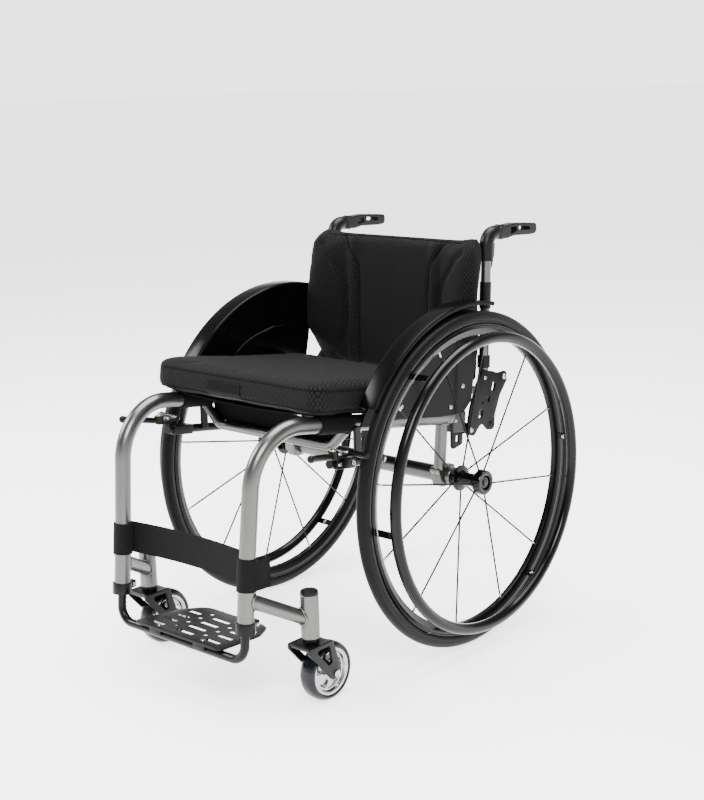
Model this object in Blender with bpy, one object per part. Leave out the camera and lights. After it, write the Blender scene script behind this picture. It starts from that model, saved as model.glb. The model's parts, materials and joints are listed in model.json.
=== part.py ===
"""Rigid-frame manual wheelchair: welded tube frame, quick-release wheels, fold-down back.

Metres, +Z up.  The chair faces -Y and +X is the sitter's left.  While a piece is modelled,
Y = 0 is the rear axle; an empty at the axle then carries everything to its place, so that the
world origin is on the floor at the middle of the chair.
"""

import math

import bmesh
import bpy
from mathutils import Matrix, Vector

# Clearances
GAP = 0.0003

# Whole chair
WHEEL_RADIUS = 0.305
AXLE_Y = 0.1000
SIDES = {"left": 1, "right": -1}

# Side frame
TUBE_RADIUS = 0.014
LEG_FOOT = Vector((0.1545, -0.4869, 0.1585))
LEG_KNEE = Vector((0.1545, -0.4770, 0.2600))
FRAME_CORNER = Vector((0.1600, -0.4556, 0.4806))
RAIL_END = Vector((0.1900, 0.0078, 0.4134))
FRAME_BEND = 0.095
LEG_BORE = 0.0084
LEG_BORE_DEPTH = 0.090

# Rear wheels
WHEEL_X = 0.2435
CAMBER = math.radians(0.5)
TYRE_THICKNESS = 0.025
RIM_INNER = 0.2625
RIM_OUTER = 0.2825
RIM_WIDTH = 0.0205
WHEEL_FACETS = 40
SPOKES = 12
SPOKE_RADIUS = 0.0011
SPOKE_PHASE = math.radians(18.8)
HUB_INNER_FACE = -0.0290
HUB_OUTER_FACE = 0.0340
HANDRIM_RADIUS = 0.2617
HANDRIM_TUBE = 0.0100
HANDRIM_OFFSET = 0.0430
HANDRIM_TABS = 6
TAB_PHASE = math.radians(6.0)
PIN_RADIUS = 0.0060

# Casters
CASTER_X = 0.2035
CASTER_Y = -0.3540
CASTER_RADIUS = 0.0510
CASTER_WIDTH = 0.0320
CASTER_FACETS = 20
STEM_Y = -0.3870
HOUSING_RADIUS = 0.0155
HOUSING_BOTTOM = 0.1195
HOUSING_TOP = 0.1955
FORK_GAP = 0.0202
FORK_PLATE = 0.0055

# Footrest
FOOT_TUBE = 0.0075
FOOT_RUN_Z = 0.0970
PLATE_THICKNESS = 0.0040
PLATE_TILT = math.radians(5.0)

# Back
BACK_PIVOT = Vector((0.0, 0.0568, 0.3795))
CANE_X = 0.1880
CANE_RADIUS = 0.0092
CANE_FOOT = Vector((CANE_X, 0.1110, 0.3950))
CANE_TOP = Vector((CANE_X, 0.1270, 0.7000))
HANDLE_PIVOT = Vector((CANE_X, 0.1670, 0.7314))
GRIP_LENGTH = 0.1070

# Brakes
BRAKE_PIVOT = Vector((0.2144, -0.3304, 0.4216))
BRAKE_ARM_PIVOT = Vector((0.2120, -0.2940, 0.4108))
BRAKE_TUBE = 0.0078

PLACES = {}


def clear_scene():
    """Remove whatever the scene holds."""
    for old in list(bpy.data.objects):
        bpy.data.objects.remove(old, do_unlink=True)


def finish(name, colour, roughness, metallic=0.0):
    """A plain surface finish."""
    made = bpy.data.materials.new(name)
    made.use_nodes = True
    shader = made.node_tree.nodes["Principled BSDF"]
    shader.inputs["Base Color"].default_value = (*colour, 1.0)
    shader.inputs["Roughness"].default_value = roughness
    shader.inputs["Metallic"].default_value = metallic
    made.diffuse_color = (*colour, 1.0)
    return made


def empty(name, place, parent=None):
    """An empty whose place is given in the modelling frame."""
    made = bpy.data.objects.new(name, None)
    bpy.context.scene.collection.objects.link(made)
    PLACES[name] = Vector(place)
    if parent:
        made.parent = parent
        made.location = PLACES[name] - PLACES[parent.name]
    return made


def node(name, bm, material, parent, origin=None):
    """Make a named piece from a bmesh modelled in place, with its own origin."""
    origin = PLACES[parent.name] if origin is None else Vector(origin)
    bm.transform(Matrix.Translation(-origin))
    mesh = bpy.data.meshes.new(name)
    bm.to_mesh(mesh)
    bm.free()
    mesh.shade_smooth()
    mesh.set_sharp_from_angle(angle=math.radians(35))
    made = bpy.data.objects.new(name, mesh)
    bpy.context.scene.collection.objects.link(made)
    made.parent = parent
    made.location = origin - PLACES[parent.name]
    PLACES[name] = origin
    mesh.materials.append(material)
    return made


def helper(name, bm):
    """A cutter or an addition: modelled in place and never rendered."""
    mesh = bpy.data.meshes.new(name)
    bm.to_mesh(mesh)
    bm.free()
    made = bpy.data.objects.new(name, mesh)
    bpy.context.scene.collection.objects.link(made)
    made.parent = bpy.data.objects["wheelchair"]
    made.hide_render = True
    made.display_type = "WIRE"
    return made


def boolean(target, tool, operation):
    """Combine a piece with a helper."""
    step = target.modifiers.new(tool.name, "BOOLEAN")
    step.object = tool
    step.operation = operation
    step.solver = "EXACT"
    return step


def cut(target, bm):
    """Cut a shape out of a piece."""
    boolean(target, helper(target.name + "_cut", bm), "DIFFERENCE")


def join(target, bm):
    """Fuse a shape, or several separate ones, onto a piece."""
    step = boolean(target, helper(target.name + "_add", bm), "UNION")
    step.use_self = True


def soften(target, width, segments=2, angle=40):
    """Round the hard edges of a piece."""
    step = target.modifiers.new("edges", "BEVEL")
    step.width = width
    step.segments = segments
    step.limit_method = "ANGLE"
    step.angle_limit = math.radians(angle)
    return step


def merged(*parts):
    """One bmesh that holds several closed shapes side by side."""
    whole = bmesh.new()
    for part in parts:
        scratch = bpy.data.meshes.new("scratch")
        part.to_mesh(scratch)
        part.free()
        whole.from_mesh(scratch)
        bpy.data.meshes.remove(scratch)
    return whole


def outward(bm):
    """Turn every face of a closed shape outward."""
    bmesh.ops.recalc_face_normals(bm, faces=bm.faces)
    if bm.calc_volume(signed=True) < 0:
        bmesh.ops.reverse_faces(bm, faces=bm.faces)
    return bm


def moved(bm, matrix):
    """Move a shape, keeping its faces outward when the matrix mirrors it."""
    bm.transform(matrix)
    if matrix.determinant() < 0:
        bmesh.ops.reverse_faces(bm, faces=bm.faces)
    return bm


def mirror_of(side):
    """The matrix that carries a left-hand shape to its side of the chair."""
    return Matrix.Scale(side, 4, Vector((1, 0, 0)))


def bent_path(corners, radii, steps=(6, 6)):
    """Straight runs joined by a circular bend at each inner corner."""
    corners = [Vector(corner) for corner in corners]
    path = [corners[0]]
    for before, corner, after, radius, count in zip(corners, corners[1:], corners[2:], radii, steps):
        back = (before - corner).normalized()
        ahead = (after - corner).normalized()
        half = back.angle(ahead) / 2
        centre = corner + (back + ahead).normalized() * radius / math.sin(half)
        reach = radius / math.tan(half)
        start = (corner + back * reach - centre).normalized()
        end = (corner + ahead * reach - centre).normalized()
        path += [centre + radius * start.slerp(end, step / count) for step in range(count + 1)]
    path.append(corners[-1])
    return path


def tube(path, radius, sides=12):
    """A round bar along a path, with flat ends, from a bevelled curve."""
    curve = bpy.data.curves.new("run", "CURVE")
    curve.dimensions = "3D"
    curve.bevel_depth = radius
    curve.bevel_resolution = (sides - 4) // 2
    curve.use_fill_caps = True
    run = curve.splines.new("POLY")
    run.points.add(len(path) - 1)
    for point, place in zip(run.points, path):
        point.co = (*place, 1.0)
    carrier = bpy.data.objects.new("run", curve)
    bpy.context.scene.collection.objects.link(carrier)
    graph = bpy.context.evaluated_depsgraph_get()
    mesh = bpy.data.meshes.new_from_object(carrier.evaluated_get(graph))
    bm = bmesh.new()
    bm.from_mesh(mesh)
    bmesh.ops.remove_doubles(bm, verts=bm.verts, dist=1e-6)
    outward(bm)
    bpy.data.objects.remove(carrier, do_unlink=True)
    bpy.data.curves.remove(curve)
    bpy.data.meshes.remove(mesh)
    return bm


def bar(start, end, radius, sides=12):
    """A straight round bar."""
    return tube([Vector(start), Vector(end)], radius, sides)


def block(centre, size, tilt=0.0):
    """A box, tilted about X through its centre."""
    bm = bmesh.new()
    bmesh.ops.create_cube(bm, size=1.0)
    bm.transform(Matrix.Diagonal((*size, 1.0)))
    bm.transform(Matrix.Translation(centre) @ Matrix.Rotation(tilt, 4, "X"))
    return bm


def turned(profile, facets, closed=False, phase=0.0):
    """A shape turned about X.  The profile lists (x, radius); a closed one makes a ring."""
    bm = bmesh.new()
    verts = [bm.verts.new((x, 0.0, -radius)) for x, radius in profile]
    edges = [bm.edges.new(pair) for pair in zip(verts, verts[1:])]
    if closed:
        edges.append(bm.edges.new((verts[-1], verts[0])))
    bmesh.ops.rotate(bm, verts=bm.verts, matrix=Matrix.Rotation(phase, 3, "X"))
    bmesh.ops.spin(
        bm,
        geom=verts + edges,
        axis=(1, 0, 0),
        cent=(0, 0, 0),
        steps=facets,
        angle=math.tau,
        use_merge=True,
    )
    bmesh.ops.remove_doubles(bm, verts=bm.verts, dist=1e-6)
    return outward(bm)


def slab(outline, low, high, axis="X"):
    """A flat plate: an outline of (a, b) points, extruded from low to high along an axis.

    About X the points are (y, z); about Z they are (x, y).
    """
    bm = bmesh.new()
    if axis == "X":
        verts = [bm.verts.new((low, a, b)) for a, b in outline]
        shift = (high - low, 0, 0)
    else:
        verts = [bm.verts.new((a, b, low)) for a, b in outline]
        shift = (0, 0, high - low)
    face = bm.faces.new(verts)
    grown = bmesh.ops.extrude_face_region(bm, geom=[face])
    tops = [item for item in grown["geom"] if isinstance(item, bmesh.types.BMVert)]
    bmesh.ops.translate(bm, verts=tops, vec=shift)
    return outward(bm)


def arc(centre, radius, start, end, steps):
    """Points along an arc, with the angles in degrees."""
    return [
        (
            centre[0] + radius * math.cos(math.radians(start + (end - start) * step / steps)),
            centre[1] + radius * math.sin(math.radians(start + (end - start) * step / steps)),
        )
        for step in range(steps + 1)
    ]


def rounded(corners, radii, steps=2):
    """A closed outline whose corners are rounded, each by its own radius."""
    outline = []
    count = len(corners)
    for index, (corner, radius) in enumerate(zip(corners, radii)):
        here = Vector(corner)
        before = (Vector(corners[index - 1]) - here).normalized()
        after = (Vector(corners[(index + 1) % count]) - here).normalized()
        half = before.angle(after) / 2
        centre = here + (before + after).normalized() * radius / math.sin(half)
        start = here + before * radius / math.tan(half) - centre
        end = here + after * radius / math.tan(half) - centre
        turn = start.angle_signed(end)
        for step in range(steps + 1):
            spoke = start.copy()
            spoke.rotate(Matrix.Rotation(-turn * step / steps, 2))
            outline.append(tuple(centre + spoke))
    return outline


def along(point, start, end):
    """How far along a line, from 0 to 1, and the place there, for a given y."""
    share = (point - start.y) / (end.y - start.y)
    return start.lerp(end, share)


def on_side(place, side):
    """A left-hand place carried to its side of the chair."""
    return Vector((place[0] * side, place[1], place[2]))


def rail_place(y):
    """The centre of the left seat rail at a given y."""
    return along(y, FRAME_CORNER, RAIL_END)


def side_path(side):
    """The centre line of a main side tube, from foot to rear end."""
    corners = [LEG_FOOT, LEG_KNEE, FRAME_CORNER, RAIL_END]
    return [on_side(place, side) for place in bent_path(corners, [0.5, FRAME_BEND], (1, 8))]


def leg_place(z):
    """The centre of the left front leg at a given height below the knee."""
    share = (z - LEG_FOOT.z) / (LEG_KNEE.z - LEG_FOOT.z)
    return LEG_FOOT.lerp(LEG_KNEE, share)


LEG_AXIS = (LEG_KNEE - LEG_FOOT).normalized()
RAIL_TILT = math.atan2(RAIL_END.z - FRAME_CORNER.z, RAIL_END.y - FRAME_CORNER.y)


# ---------------------------------------------------------------- frame


def build_main_tubes(root, silver):
    """The two bent side tubes, each from a front leg to the rear end of a seat rail."""
    for label, side in SIDES.items():
        main = node(f"main_tube_{label}", tube(side_path(side), TUBE_RADIUS), silver, root)
        bore_end = leg_place(LEG_FOOT.z + LEG_BORE_DEPTH)
        bore_start = LEG_FOOT - LEG_AXIS * 0.01
        cut(main, bar(on_side(bore_start, side), on_side(bore_end, side), LEG_BORE))


def build_caster_supports(root, silver, black):
    """The arm, bearing housing and cap that carry each caster."""
    for label, side in SIDES.items():
        stem = Vector((side * CASTER_X, STEM_Y, 0))
        leg = on_side(leg_place(0.203), side)
        target = Vector((stem.x, stem.y, 0.150))
        arm = node(f"caster_arm_{label}", bar(leg, target, 0.0122), silver, root)
        leg_ends = [on_side(leg_place(z), side) for z in (0.15, 0.26)]
        cut(arm, bar(*leg_ends, TUBE_RADIUS + GAP, 16))
        low = Vector((stem.x, stem.y, 0.10))
        high = Vector((stem.x, stem.y, 0.22))
        cut(arm, bar(low, high, HOUSING_RADIUS + GAP, 16))

        low = Vector((stem.x, stem.y, HOUSING_BOTTOM))
        high = Vector((stem.x, stem.y, HOUSING_TOP))
        housing = node(f"caster_housing_{label}", bar(low, high, HOUSING_RADIUS, 16), silver, root)
        soften(housing, 0.0008, 1, 60)
        cut(housing, bar((stem.x, stem.y, 0.11), (stem.x, stem.y, 0.187), 0.0068))

        profile = [
            (HOUSING_TOP + GAP, 0.0),
            (HOUSING_TOP + GAP, 0.0152),
            (HOUSING_TOP + 0.0040, 0.0152),
            (HOUSING_TOP + 0.0058, 0.0135),
            (HOUSING_TOP + 0.0062, 0.0),
        ]
        upright = Matrix.Translation((stem.x, stem.y, 0)) @ Matrix.Rotation(-math.pi / 2, 4, "Y")
        cap = moved(turned(profile, 16), upright)
        node(f"caster_cap_{label}", cap, black, root)


def build_axle_and_struts(root, silver):
    """The cross axle tube with its end castings, the upright struts and the rear brackets."""
    ends = [
        (-0.2060, 0.0),
        (-0.2060, 0.0170),
        (-0.1960, 0.0170),
        (-0.1955, 0.0150),
        (0.1955, 0.0150),
        (0.1960, 0.0170),
        (0.2060, 0.0170),
        (0.2060, 0.0),
    ]
    lift = Matrix.Translation((0, 0, WHEEL_RADIUS))
    axle = node("axle_tube", moved(turned(ends, 16, phase=math.pi / 16), lift), silver, root)
    castings = []
    for side in SIDES.values():
        outline = rounded(
            [(-0.0200, 0.2870), (0.0170, 0.2870), (0.0190, 0.3230), (-0.0300, 0.3230)],
            [0.006, 0.006, 0.003, 0.003],
        )
        castings.append(moved(slab(outline, 0.1720, 0.1940), mirror_of(side)))
    join(axle, merged(*castings))
    for side in SIDES.values():
        wheel = wheel_matrix(side)
        cut(axle, moved(bar((-0.098, 0, 0), (0.0, 0, 0), PIN_RADIUS + 0.0004), wheel))

    for label, side in SIDES.items():
        foot = Vector((side * 0.1860, -0.0170, 0.3100))
        head = Vector((side * 0.1870, -0.0090, 0.4200))
        strut = node(f"rear_strut_{label}", bar(foot, head, 0.0112), silver, root)
        cut(strut, tube(side_path(side), TUBE_RADIUS + GAP, 16))
        cut(strut, block((side * 0.1800, 0, 0.3033), (0.08, 0.12, 0.0400)))


def build_rear_brackets(root, grey):
    """The clamp casting at the rear end of each seat rail, with the tab that carries the back."""
    for label, side in SIDES.items():
        outline = rounded(
            [(0.0105, 0.3830), (0.0460, 0.3780), (0.0500, 0.4180), (0.0105, 0.4250)],
            [0.002, 0.003, 0.006, 0.004],
        )
        tab = rounded(
            [(0.0160, 0.3480), (0.0480, 0.3540), (0.0490, 0.3900), (0.0160, 0.3900)],
            [0.006, 0.006, 0.002, 0.002],
        )
        lobe = rounded(
            [(0.0400, 0.3730), (0.0640, 0.3720), (0.0650, 0.3880), (0.0400, 0.4020)],
            [0.004, 0.007, 0.007, 0.004],
        )
        bracket = node(
            f"rear_bracket_{label}",
            moved(slab(outline, 0.1770, 0.1968), mirror_of(side)),
            grey,
            root,
        )
        join(bracket, moved(slab(tab, 0.1850, 0.1900), mirror_of(side)))
        join(bracket, moved(slab(lobe, 0.1861, 0.1911), mirror_of(side)))
        window = [(0.0270, 0.3590), (0.0370, 0.3600), (0.0380, 0.3740), (0.0280, 0.3730)]
        cut(bracket, moved(slab(window, 0.1800, 0.1950), mirror_of(side)))


def build_front_cross_tube(root, silver):
    """The tube that joins the rails under the front of the seat."""
    ends = [
        Vector((-0.1700, -0.2520, 0.4380)),
        Vector((-0.1380, -0.2520, 0.4050)),
        Vector((0.1380, -0.2520, 0.4050)),
        Vector((0.1700, -0.2520, 0.4380)),
    ]
    cross = node("front_cross_tube", tube(bent_path(ends, [0.03, 0.03], (3, 3)), 0.0088), silver, root)
    for side in SIDES.values():
        cut(cross, tube(side_path(side), 0.0172 + GAP, 12))


# ---------------------------------------------------------------- seat


def seat_frame():
    """Matrix from seat coordinates (x across, y back, z up from the rail tops) to the chair."""
    middle = rail_place(-0.16)
    place = Matrix.Translation((0, middle.y, middle.z))
    return place @ Matrix.Rotation(RAIL_TILT, 4, "X")


def build_seat(root, fabric, mesh_fabric):
    """The sling that laces to the rails, and the loose cushion on it."""
    frame = seat_frame()
    top = TUBE_RADIUS + 0.0024
    front_x, rear_x = rail_place(-0.330).x, rail_place(-0.030).x
    corners = [(-front_x, -0.172), (front_x, -0.172), (rear_x, 0.130), (-rear_x, 0.130)]
    panel = slab(corners, top - 0.0022, top + 0.0014, "Z")
    sling = node("seat_sling", moved(panel, frame), fabric, root)
    sleeves = []
    cutters = []
    for side in SIDES.values():
        ends = [on_side(rail_place(-0.318), side), on_side(rail_place(-0.245), side)]
        sleeves.append(tube(ends, 0.0166, 12))
        ends = [on_side(rail_place(-0.345), side), on_side(rail_place(-0.005), side)]
        cutters.append(tube(ends, TUBE_RADIUS + GAP, 12))
    join(sling, merged(*sleeves))
    cut(sling, merged(*cutters))

    cushion = bmesh.new()
    bmesh.ops.create_cube(cushion, size=1.0)
    cushion.transform(Matrix.Diagonal((0.396, 0.362, 0.054, 1.0)))
    cushion.transform(frame @ Matrix.Translation((0, 0.0010, 0.0460)))
    seat = node("seat_cushion", cushion, mesh_fabric, root)
    soften(seat, 0.016, 3)


def build_side_guards(root, gloss):
    """The side panels, whose top edge rolls outward over the tyre as a mudguard."""
    centre = (0.002, 0.3165)
    outer = 0.3110
    rear_end, front_end = 77.0, 147.0
    for label, side in SIDES.items():
        profile = [
            (0.2066, 0.2950),
            (0.2066, outer - 0.0030),
            (0.2086, outer - 0.0006),
            (0.2130, outer),
            (0.2440, outer),
            (0.2464, outer - 0.0022),
            (0.2464, outer - 0.0075),
            (0.2440, outer - 0.0075),
            (0.2436, outer - 0.0028),
            (0.2130, outer - 0.0028),
            (0.2100, outer - 0.0055),
            (0.2100, 0.2950),
        ]
        flange = bmesh.new()
        verts = [flange.verts.new((x, 0.0, radius)) for x, radius in profile]
        face = flange.faces.new(verts)
        bmesh.ops.rotate(
            flange,
            verts=flange.verts,
            matrix=Matrix.Rotation(math.radians(rear_end - 90), 3, "X"),
        )
        bmesh.ops.spin(
            flange,
            geom=[face],
            axis=(1, 0, 0),
            cent=(0, 0, 0),
            steps=16,
            angle=math.radians(front_end - rear_end),
            use_merge=False,
        )
        bmesh.ops.remove_doubles(flange, verts=flange.verts, dist=1e-6)
        outward(flange)
        flange.transform(Matrix.Translation((0, *centre)))
        rim = arc(centre, 0.3010, rear_end, front_end, 12)
        lower = [
            (-0.2240, 0.4860),
            (-0.2420, 0.4720),
            (-0.2560, 0.4500),
            (-0.2400, 0.4470),
            (-0.1510, 0.4440),
            (-0.0400, 0.4250),
            (0.0250, 0.4200),
            (0.0480, 0.4380),
            (0.0690, 0.5400),
        ]
        guard = node(
            f"side_guard_{label}",
            moved(slab(rim + lower, 0.2068, 0.2098), mirror_of(side)),
            gloss,
            root,
        )
        join(guard, moved(flange, mirror_of(side)))


def build_calf_strap(root, fabric):
    """The webbing strap behind the calves, looped round both front legs."""
    low, high = 0.2170, 0.2710
    bands = []
    lean = LEG_AXIS.y / LEG_AXIS.z
    steps = 10
    front = []
    for step in range(steps + 1):
        x = -0.1560 + 0.3120 * step / steps
        sag = 0.014 * (1 - (x / 0.1560) ** 2)
        front.append((x, -0.4790 + TUBE_RADIUS + sag))
    back = [(x, y + 0.0024) for x, y in reversed(front)]
    band = slab(front + back, low, high, "Z")
    for vert in band.verts:
        vert.co.y += (vert.co.z - (low + high) / 2) * lean
    strap = node("calf_strap", band, fabric, root)
    for side in SIDES.values():
        ends = [on_side(leg_place(low), side), on_side(leg_place(high), side)]
        bands.append(tube(ends, 0.0166, 12))
    join(strap, merged(*bands))
    for side in SIDES.values():
        ends = [on_side(leg_place(low - 0.03), side), on_side(leg_place(high + 0.03), side)]
        cut(strap, tube(ends, TUBE_RADIUS + GAP, 12))


# ---------------------------------------------------------------- footrest


def build_footrest_clamps(root, black):
    """The collar that grips the footrest tube at the bottom of each front leg."""
    for label, side in SIDES.items():
        foot = on_side(LEG_FOOT, side)
        low = foot - LEG_AXIS * 0.0130
        high = foot + LEG_AXIS * 0.0060
        collar = node(f"footrest_clamp_{label}", bar(low, high, 0.0170, 16), black, root)
        ear = block((foot.x, foot.y + 0.0205, foot.z - 0.0020), (0.0120, 0.0130, 0.0130))
        bolt = bar(
            (foot.x - 0.0085, foot.y + 0.0220, foot.z - 0.0020),
            (foot.x + 0.0085, foot.y + 0.0220, foot.z - 0.0020),
            0.0036,
            8,
        )
        join(collar, merged(ear))
        join(collar, merged(bolt))
        cut(collar, bar(foot - LEG_AXIS * GAP, foot + LEG_AXIS * 0.03, TUBE_RADIUS + GAP, 16))
        cut(collar, bar(foot - LEG_AXIS * 0.03, foot + LEG_AXIS * 0.01, FOOT_TUBE + 0.0006))
        cut(collar, block((foot.x, foot.y + 0.0150, foot.z + 0.0035), (0.0018, 0.0170, 0.0060)))


def foot_tube_path():
    """The U of the footrest tube, from inside one leg to inside the other."""
    top = leg_place(0.2350)
    corner = leg_place(FOOT_RUN_Z)
    corners = [top, corner, on_side(corner, -1), on_side(top, -1)]
    return bent_path(corners, [0.028, 0.028], (5, 5))


def build_footrest(root, black, dark):
    """The height-adjusting U tube and the slotted plate that tips up on it."""
    slide = empty("footrest", leg_place(FOOT_RUN_Z) * Vector((0, 1, 1)), root)
    node("footrest_tube", tube(foot_tube_path(), FOOT_TUBE), black, slide)

    run = leg_place(FOOT_RUN_Z)
    pivot = empty("foot_plate_pivot", (0, run.y, run.z), slide)
    half_plate = [(0.1080, -0.0130), (0.1000, 0.0900), (0.0760, 0.1330)]
    other_half = [(-x, y) for x, y in reversed(half_plate)]
    outline = rounded(half_plate + other_half, [0.012, 0.040, 0.028, 0.028, 0.040, 0.012], 4)
    lift = FOOT_TUBE + 0.0016
    tip = Matrix.Translation((0, run.y, run.z)) @ Matrix.Rotation(-PLATE_TILT, 4, "X")
    plate = slab(outline, lift, lift + PLATE_THICKNESS, "Z")
    made = node("foot_plate", moved(plate, tip), dark, pivot)
    saddles = [block((x, 0.0, lift - 0.0045), (0.0280, 0.0210, 0.0100)) for x in (-0.055, 0.055)]
    join(made, moved(merged(*saddles), tip))
    cut(made, bar((-0.12, run.y, run.z), (0.12, run.y, run.z), FOOT_TUBE + GAP, 16))
    openings = []
    for row, y in enumerate((0.0100, 0.0380, 0.0660, 0.0940)):
        for x, length in ((-0.0690, 0.0340), (0.0, 0.0420), (0.0690, 0.0340)):
            half = length / 2 - 0.0034
            ends = arc((x + half, y), 0.0034, -90, 90, 2) + arc((x - half, y), 0.0034, 90, 270, 2)
            openings.append(slab(ends, lift - 0.01, lift + 0.01, "Z"))
        for x in (-0.0370, 0.0370):
            hole = arc((x, y + 0.0130), 0.0034, 0, 300, 5)
            openings.append(slab(hole, lift - 0.01, lift + 0.01, "Z"))
    cut(made, moved(merged(*openings), tip))


# ---------------------------------------------------------------- rear wheels


def wheel_matrix(side):
    """From wheel coordinates (x outboard along the axle, centre at 0) to the chair."""
    centre_z = (WHEEL_RADIUS - TYRE_THICKNESS / 2) * math.cos(CAMBER) + TYRE_THICKNESS / 2
    lean = Matrix.Rotation(-CAMBER, 4, "Y")
    place = Matrix.Translation((WHEEL_X, 0, centre_z))
    return mirror_of(side) @ place @ lean


def build_rear_wheel(label, side, root, paint):
    """A quick-release spoked wheel with its handrim, axle pin and release button."""
    matrix = wheel_matrix(side)
    centre = matrix @ Vector((0, 0, 0))
    pin_place = empty(f"axle_{label}", centre, root)
    wheel = empty(f"wheel_{label}", centre, pin_place)
    flat = math.pi / WHEEL_FACETS
    grow = 1 / math.cos(flat)

    core = WHEEL_RADIUS - TYRE_THICKNESS / 2
    section = [(x, (core + r) * grow) for x, r in arc((0, 0), TYRE_THICKNESS / 2, -50, 230, 8)]
    tyre = turned(section, WHEEL_FACETS, closed=True, phase=flat)
    node(f"tyre_{label}", moved(tyre, matrix), paint["tyre"], wheel)

    half = RIM_WIDTH / 2
    section = [
        (-half, RIM_OUTER),
        (-half, RIM_OUTER - 0.0080),
        (-0.0045, RIM_INNER),
        (0.0045, RIM_INNER),
        (half, RIM_OUTER - 0.0080),
        (half, RIM_OUTER),
    ]
    rim = turned([(x, r * grow) for x, r in section], WHEEL_FACETS, closed=True, phase=flat)
    node(f"rim_{label}", moved(rim, matrix), paint["rim"], wheel)

    profile = [
        (HUB_INNER_FACE, PIN_RADIUS + 0.0004),
        (HUB_INNER_FACE, 0.0150),
        (-0.0250, 0.0150),
        (-0.0250, 0.0235),
        (-0.0205, 0.0235),
        (-0.0190, 0.0150),
        (0.0000, 0.0118),
        (0.0180, 0.0165),
        (0.0195, 0.0225),
        (HUB_OUTER_FACE, 0.0215),
        (HUB_OUTER_FACE, 0.0128),
        (0.0237, 0.0122),
        (0.0237, PIN_RADIUS + 0.0004),
    ]
    hub = node(
        f"wheel_hub_{label}",
        moved(turned(profile, 16, closed=True), matrix),
        paint["hub"],
        wheel,
    )
    spokes = []
    for index in range(SPOKES):
        angle = SPOKE_PHASE + index * math.tau / SPOKES
        inner = index % 2 == 0
        x, radius = (-0.0228, 0.0215) if inner else (0.0215, 0.0205)
        lead = math.radians(10 if index % 4 < 2 else -10)
        out = Vector((0, math.cos(angle), math.sin(angle)))
        root_dir = Vector((0, math.cos(angle + lead), math.sin(angle + lead)))
        start = Vector((x, 0, 0)) + root_dir * radius
        end = Vector((0, 0, 0)) + out * (RIM_INNER - 0.0006)
        spokes.append(bar(start, end, SPOKE_RADIUS, 6))
    join(hub, moved(merged(*spokes), matrix))

    section = [
        (HANDRIM_OFFSET + x, (HANDRIM_RADIUS + r)) for x, r in arc((0, 0), HANDRIM_TUBE, 0, 315, 7)
    ]
    handrim = node(
        f"handrim_{label}",
        moved(turned(section, WHEEL_FACETS, closed=True, phase=flat), matrix),
        paint["handrim"],
        wheel,
    )
    tabs = []
    for index in range(HANDRIM_TABS):
        tab = block((0.0235, 0, 0), (0.0250, 0.0120, 0.0035))
        tab.transform(Matrix.Translation((0, 0, RIM_INNER + 0.0060)))
        angle = TAB_PHASE - math.pi / 2 + index * math.tau / HANDRIM_TABS
        tabs.append(moved(tab, Matrix.Rotation(angle, 4, "X")))
    join(handrim, moved(merged(*tabs), matrix))

    profile = [
        (-0.0900, 0.0),
        (-0.0900, PIN_RADIUS - 0.0010),
        (-0.0885, PIN_RADIUS),
        (0.0240, PIN_RADIUS),
        (0.0240, 0.0105),
        (0.0310, 0.0105),
        (0.0318, 0.0096),
        (0.0318, 0.0061),
        (0.0254, 0.0061),
        (0.0254, 0.0),
    ]
    pin = moved(turned(profile, 16), matrix)
    node(f"axle_pin_{label}", pin, paint["steel"], pin_place)

    button_place = empty(f"button_{label}", matrix @ Vector((0.0290, 0, 0)), pin_place)
    profile = [
        (0.0288, 0.0),
        (0.0288, 0.0056),
        (0.0336, 0.0056),
        (0.0345, 0.0044),
        (0.0347, 0.0),
    ]
    node(f"axle_button_{label}", moved(turned(profile, 16), matrix), paint["hub"], button_place)


# ---------------------------------------------------------------- casters


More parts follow.
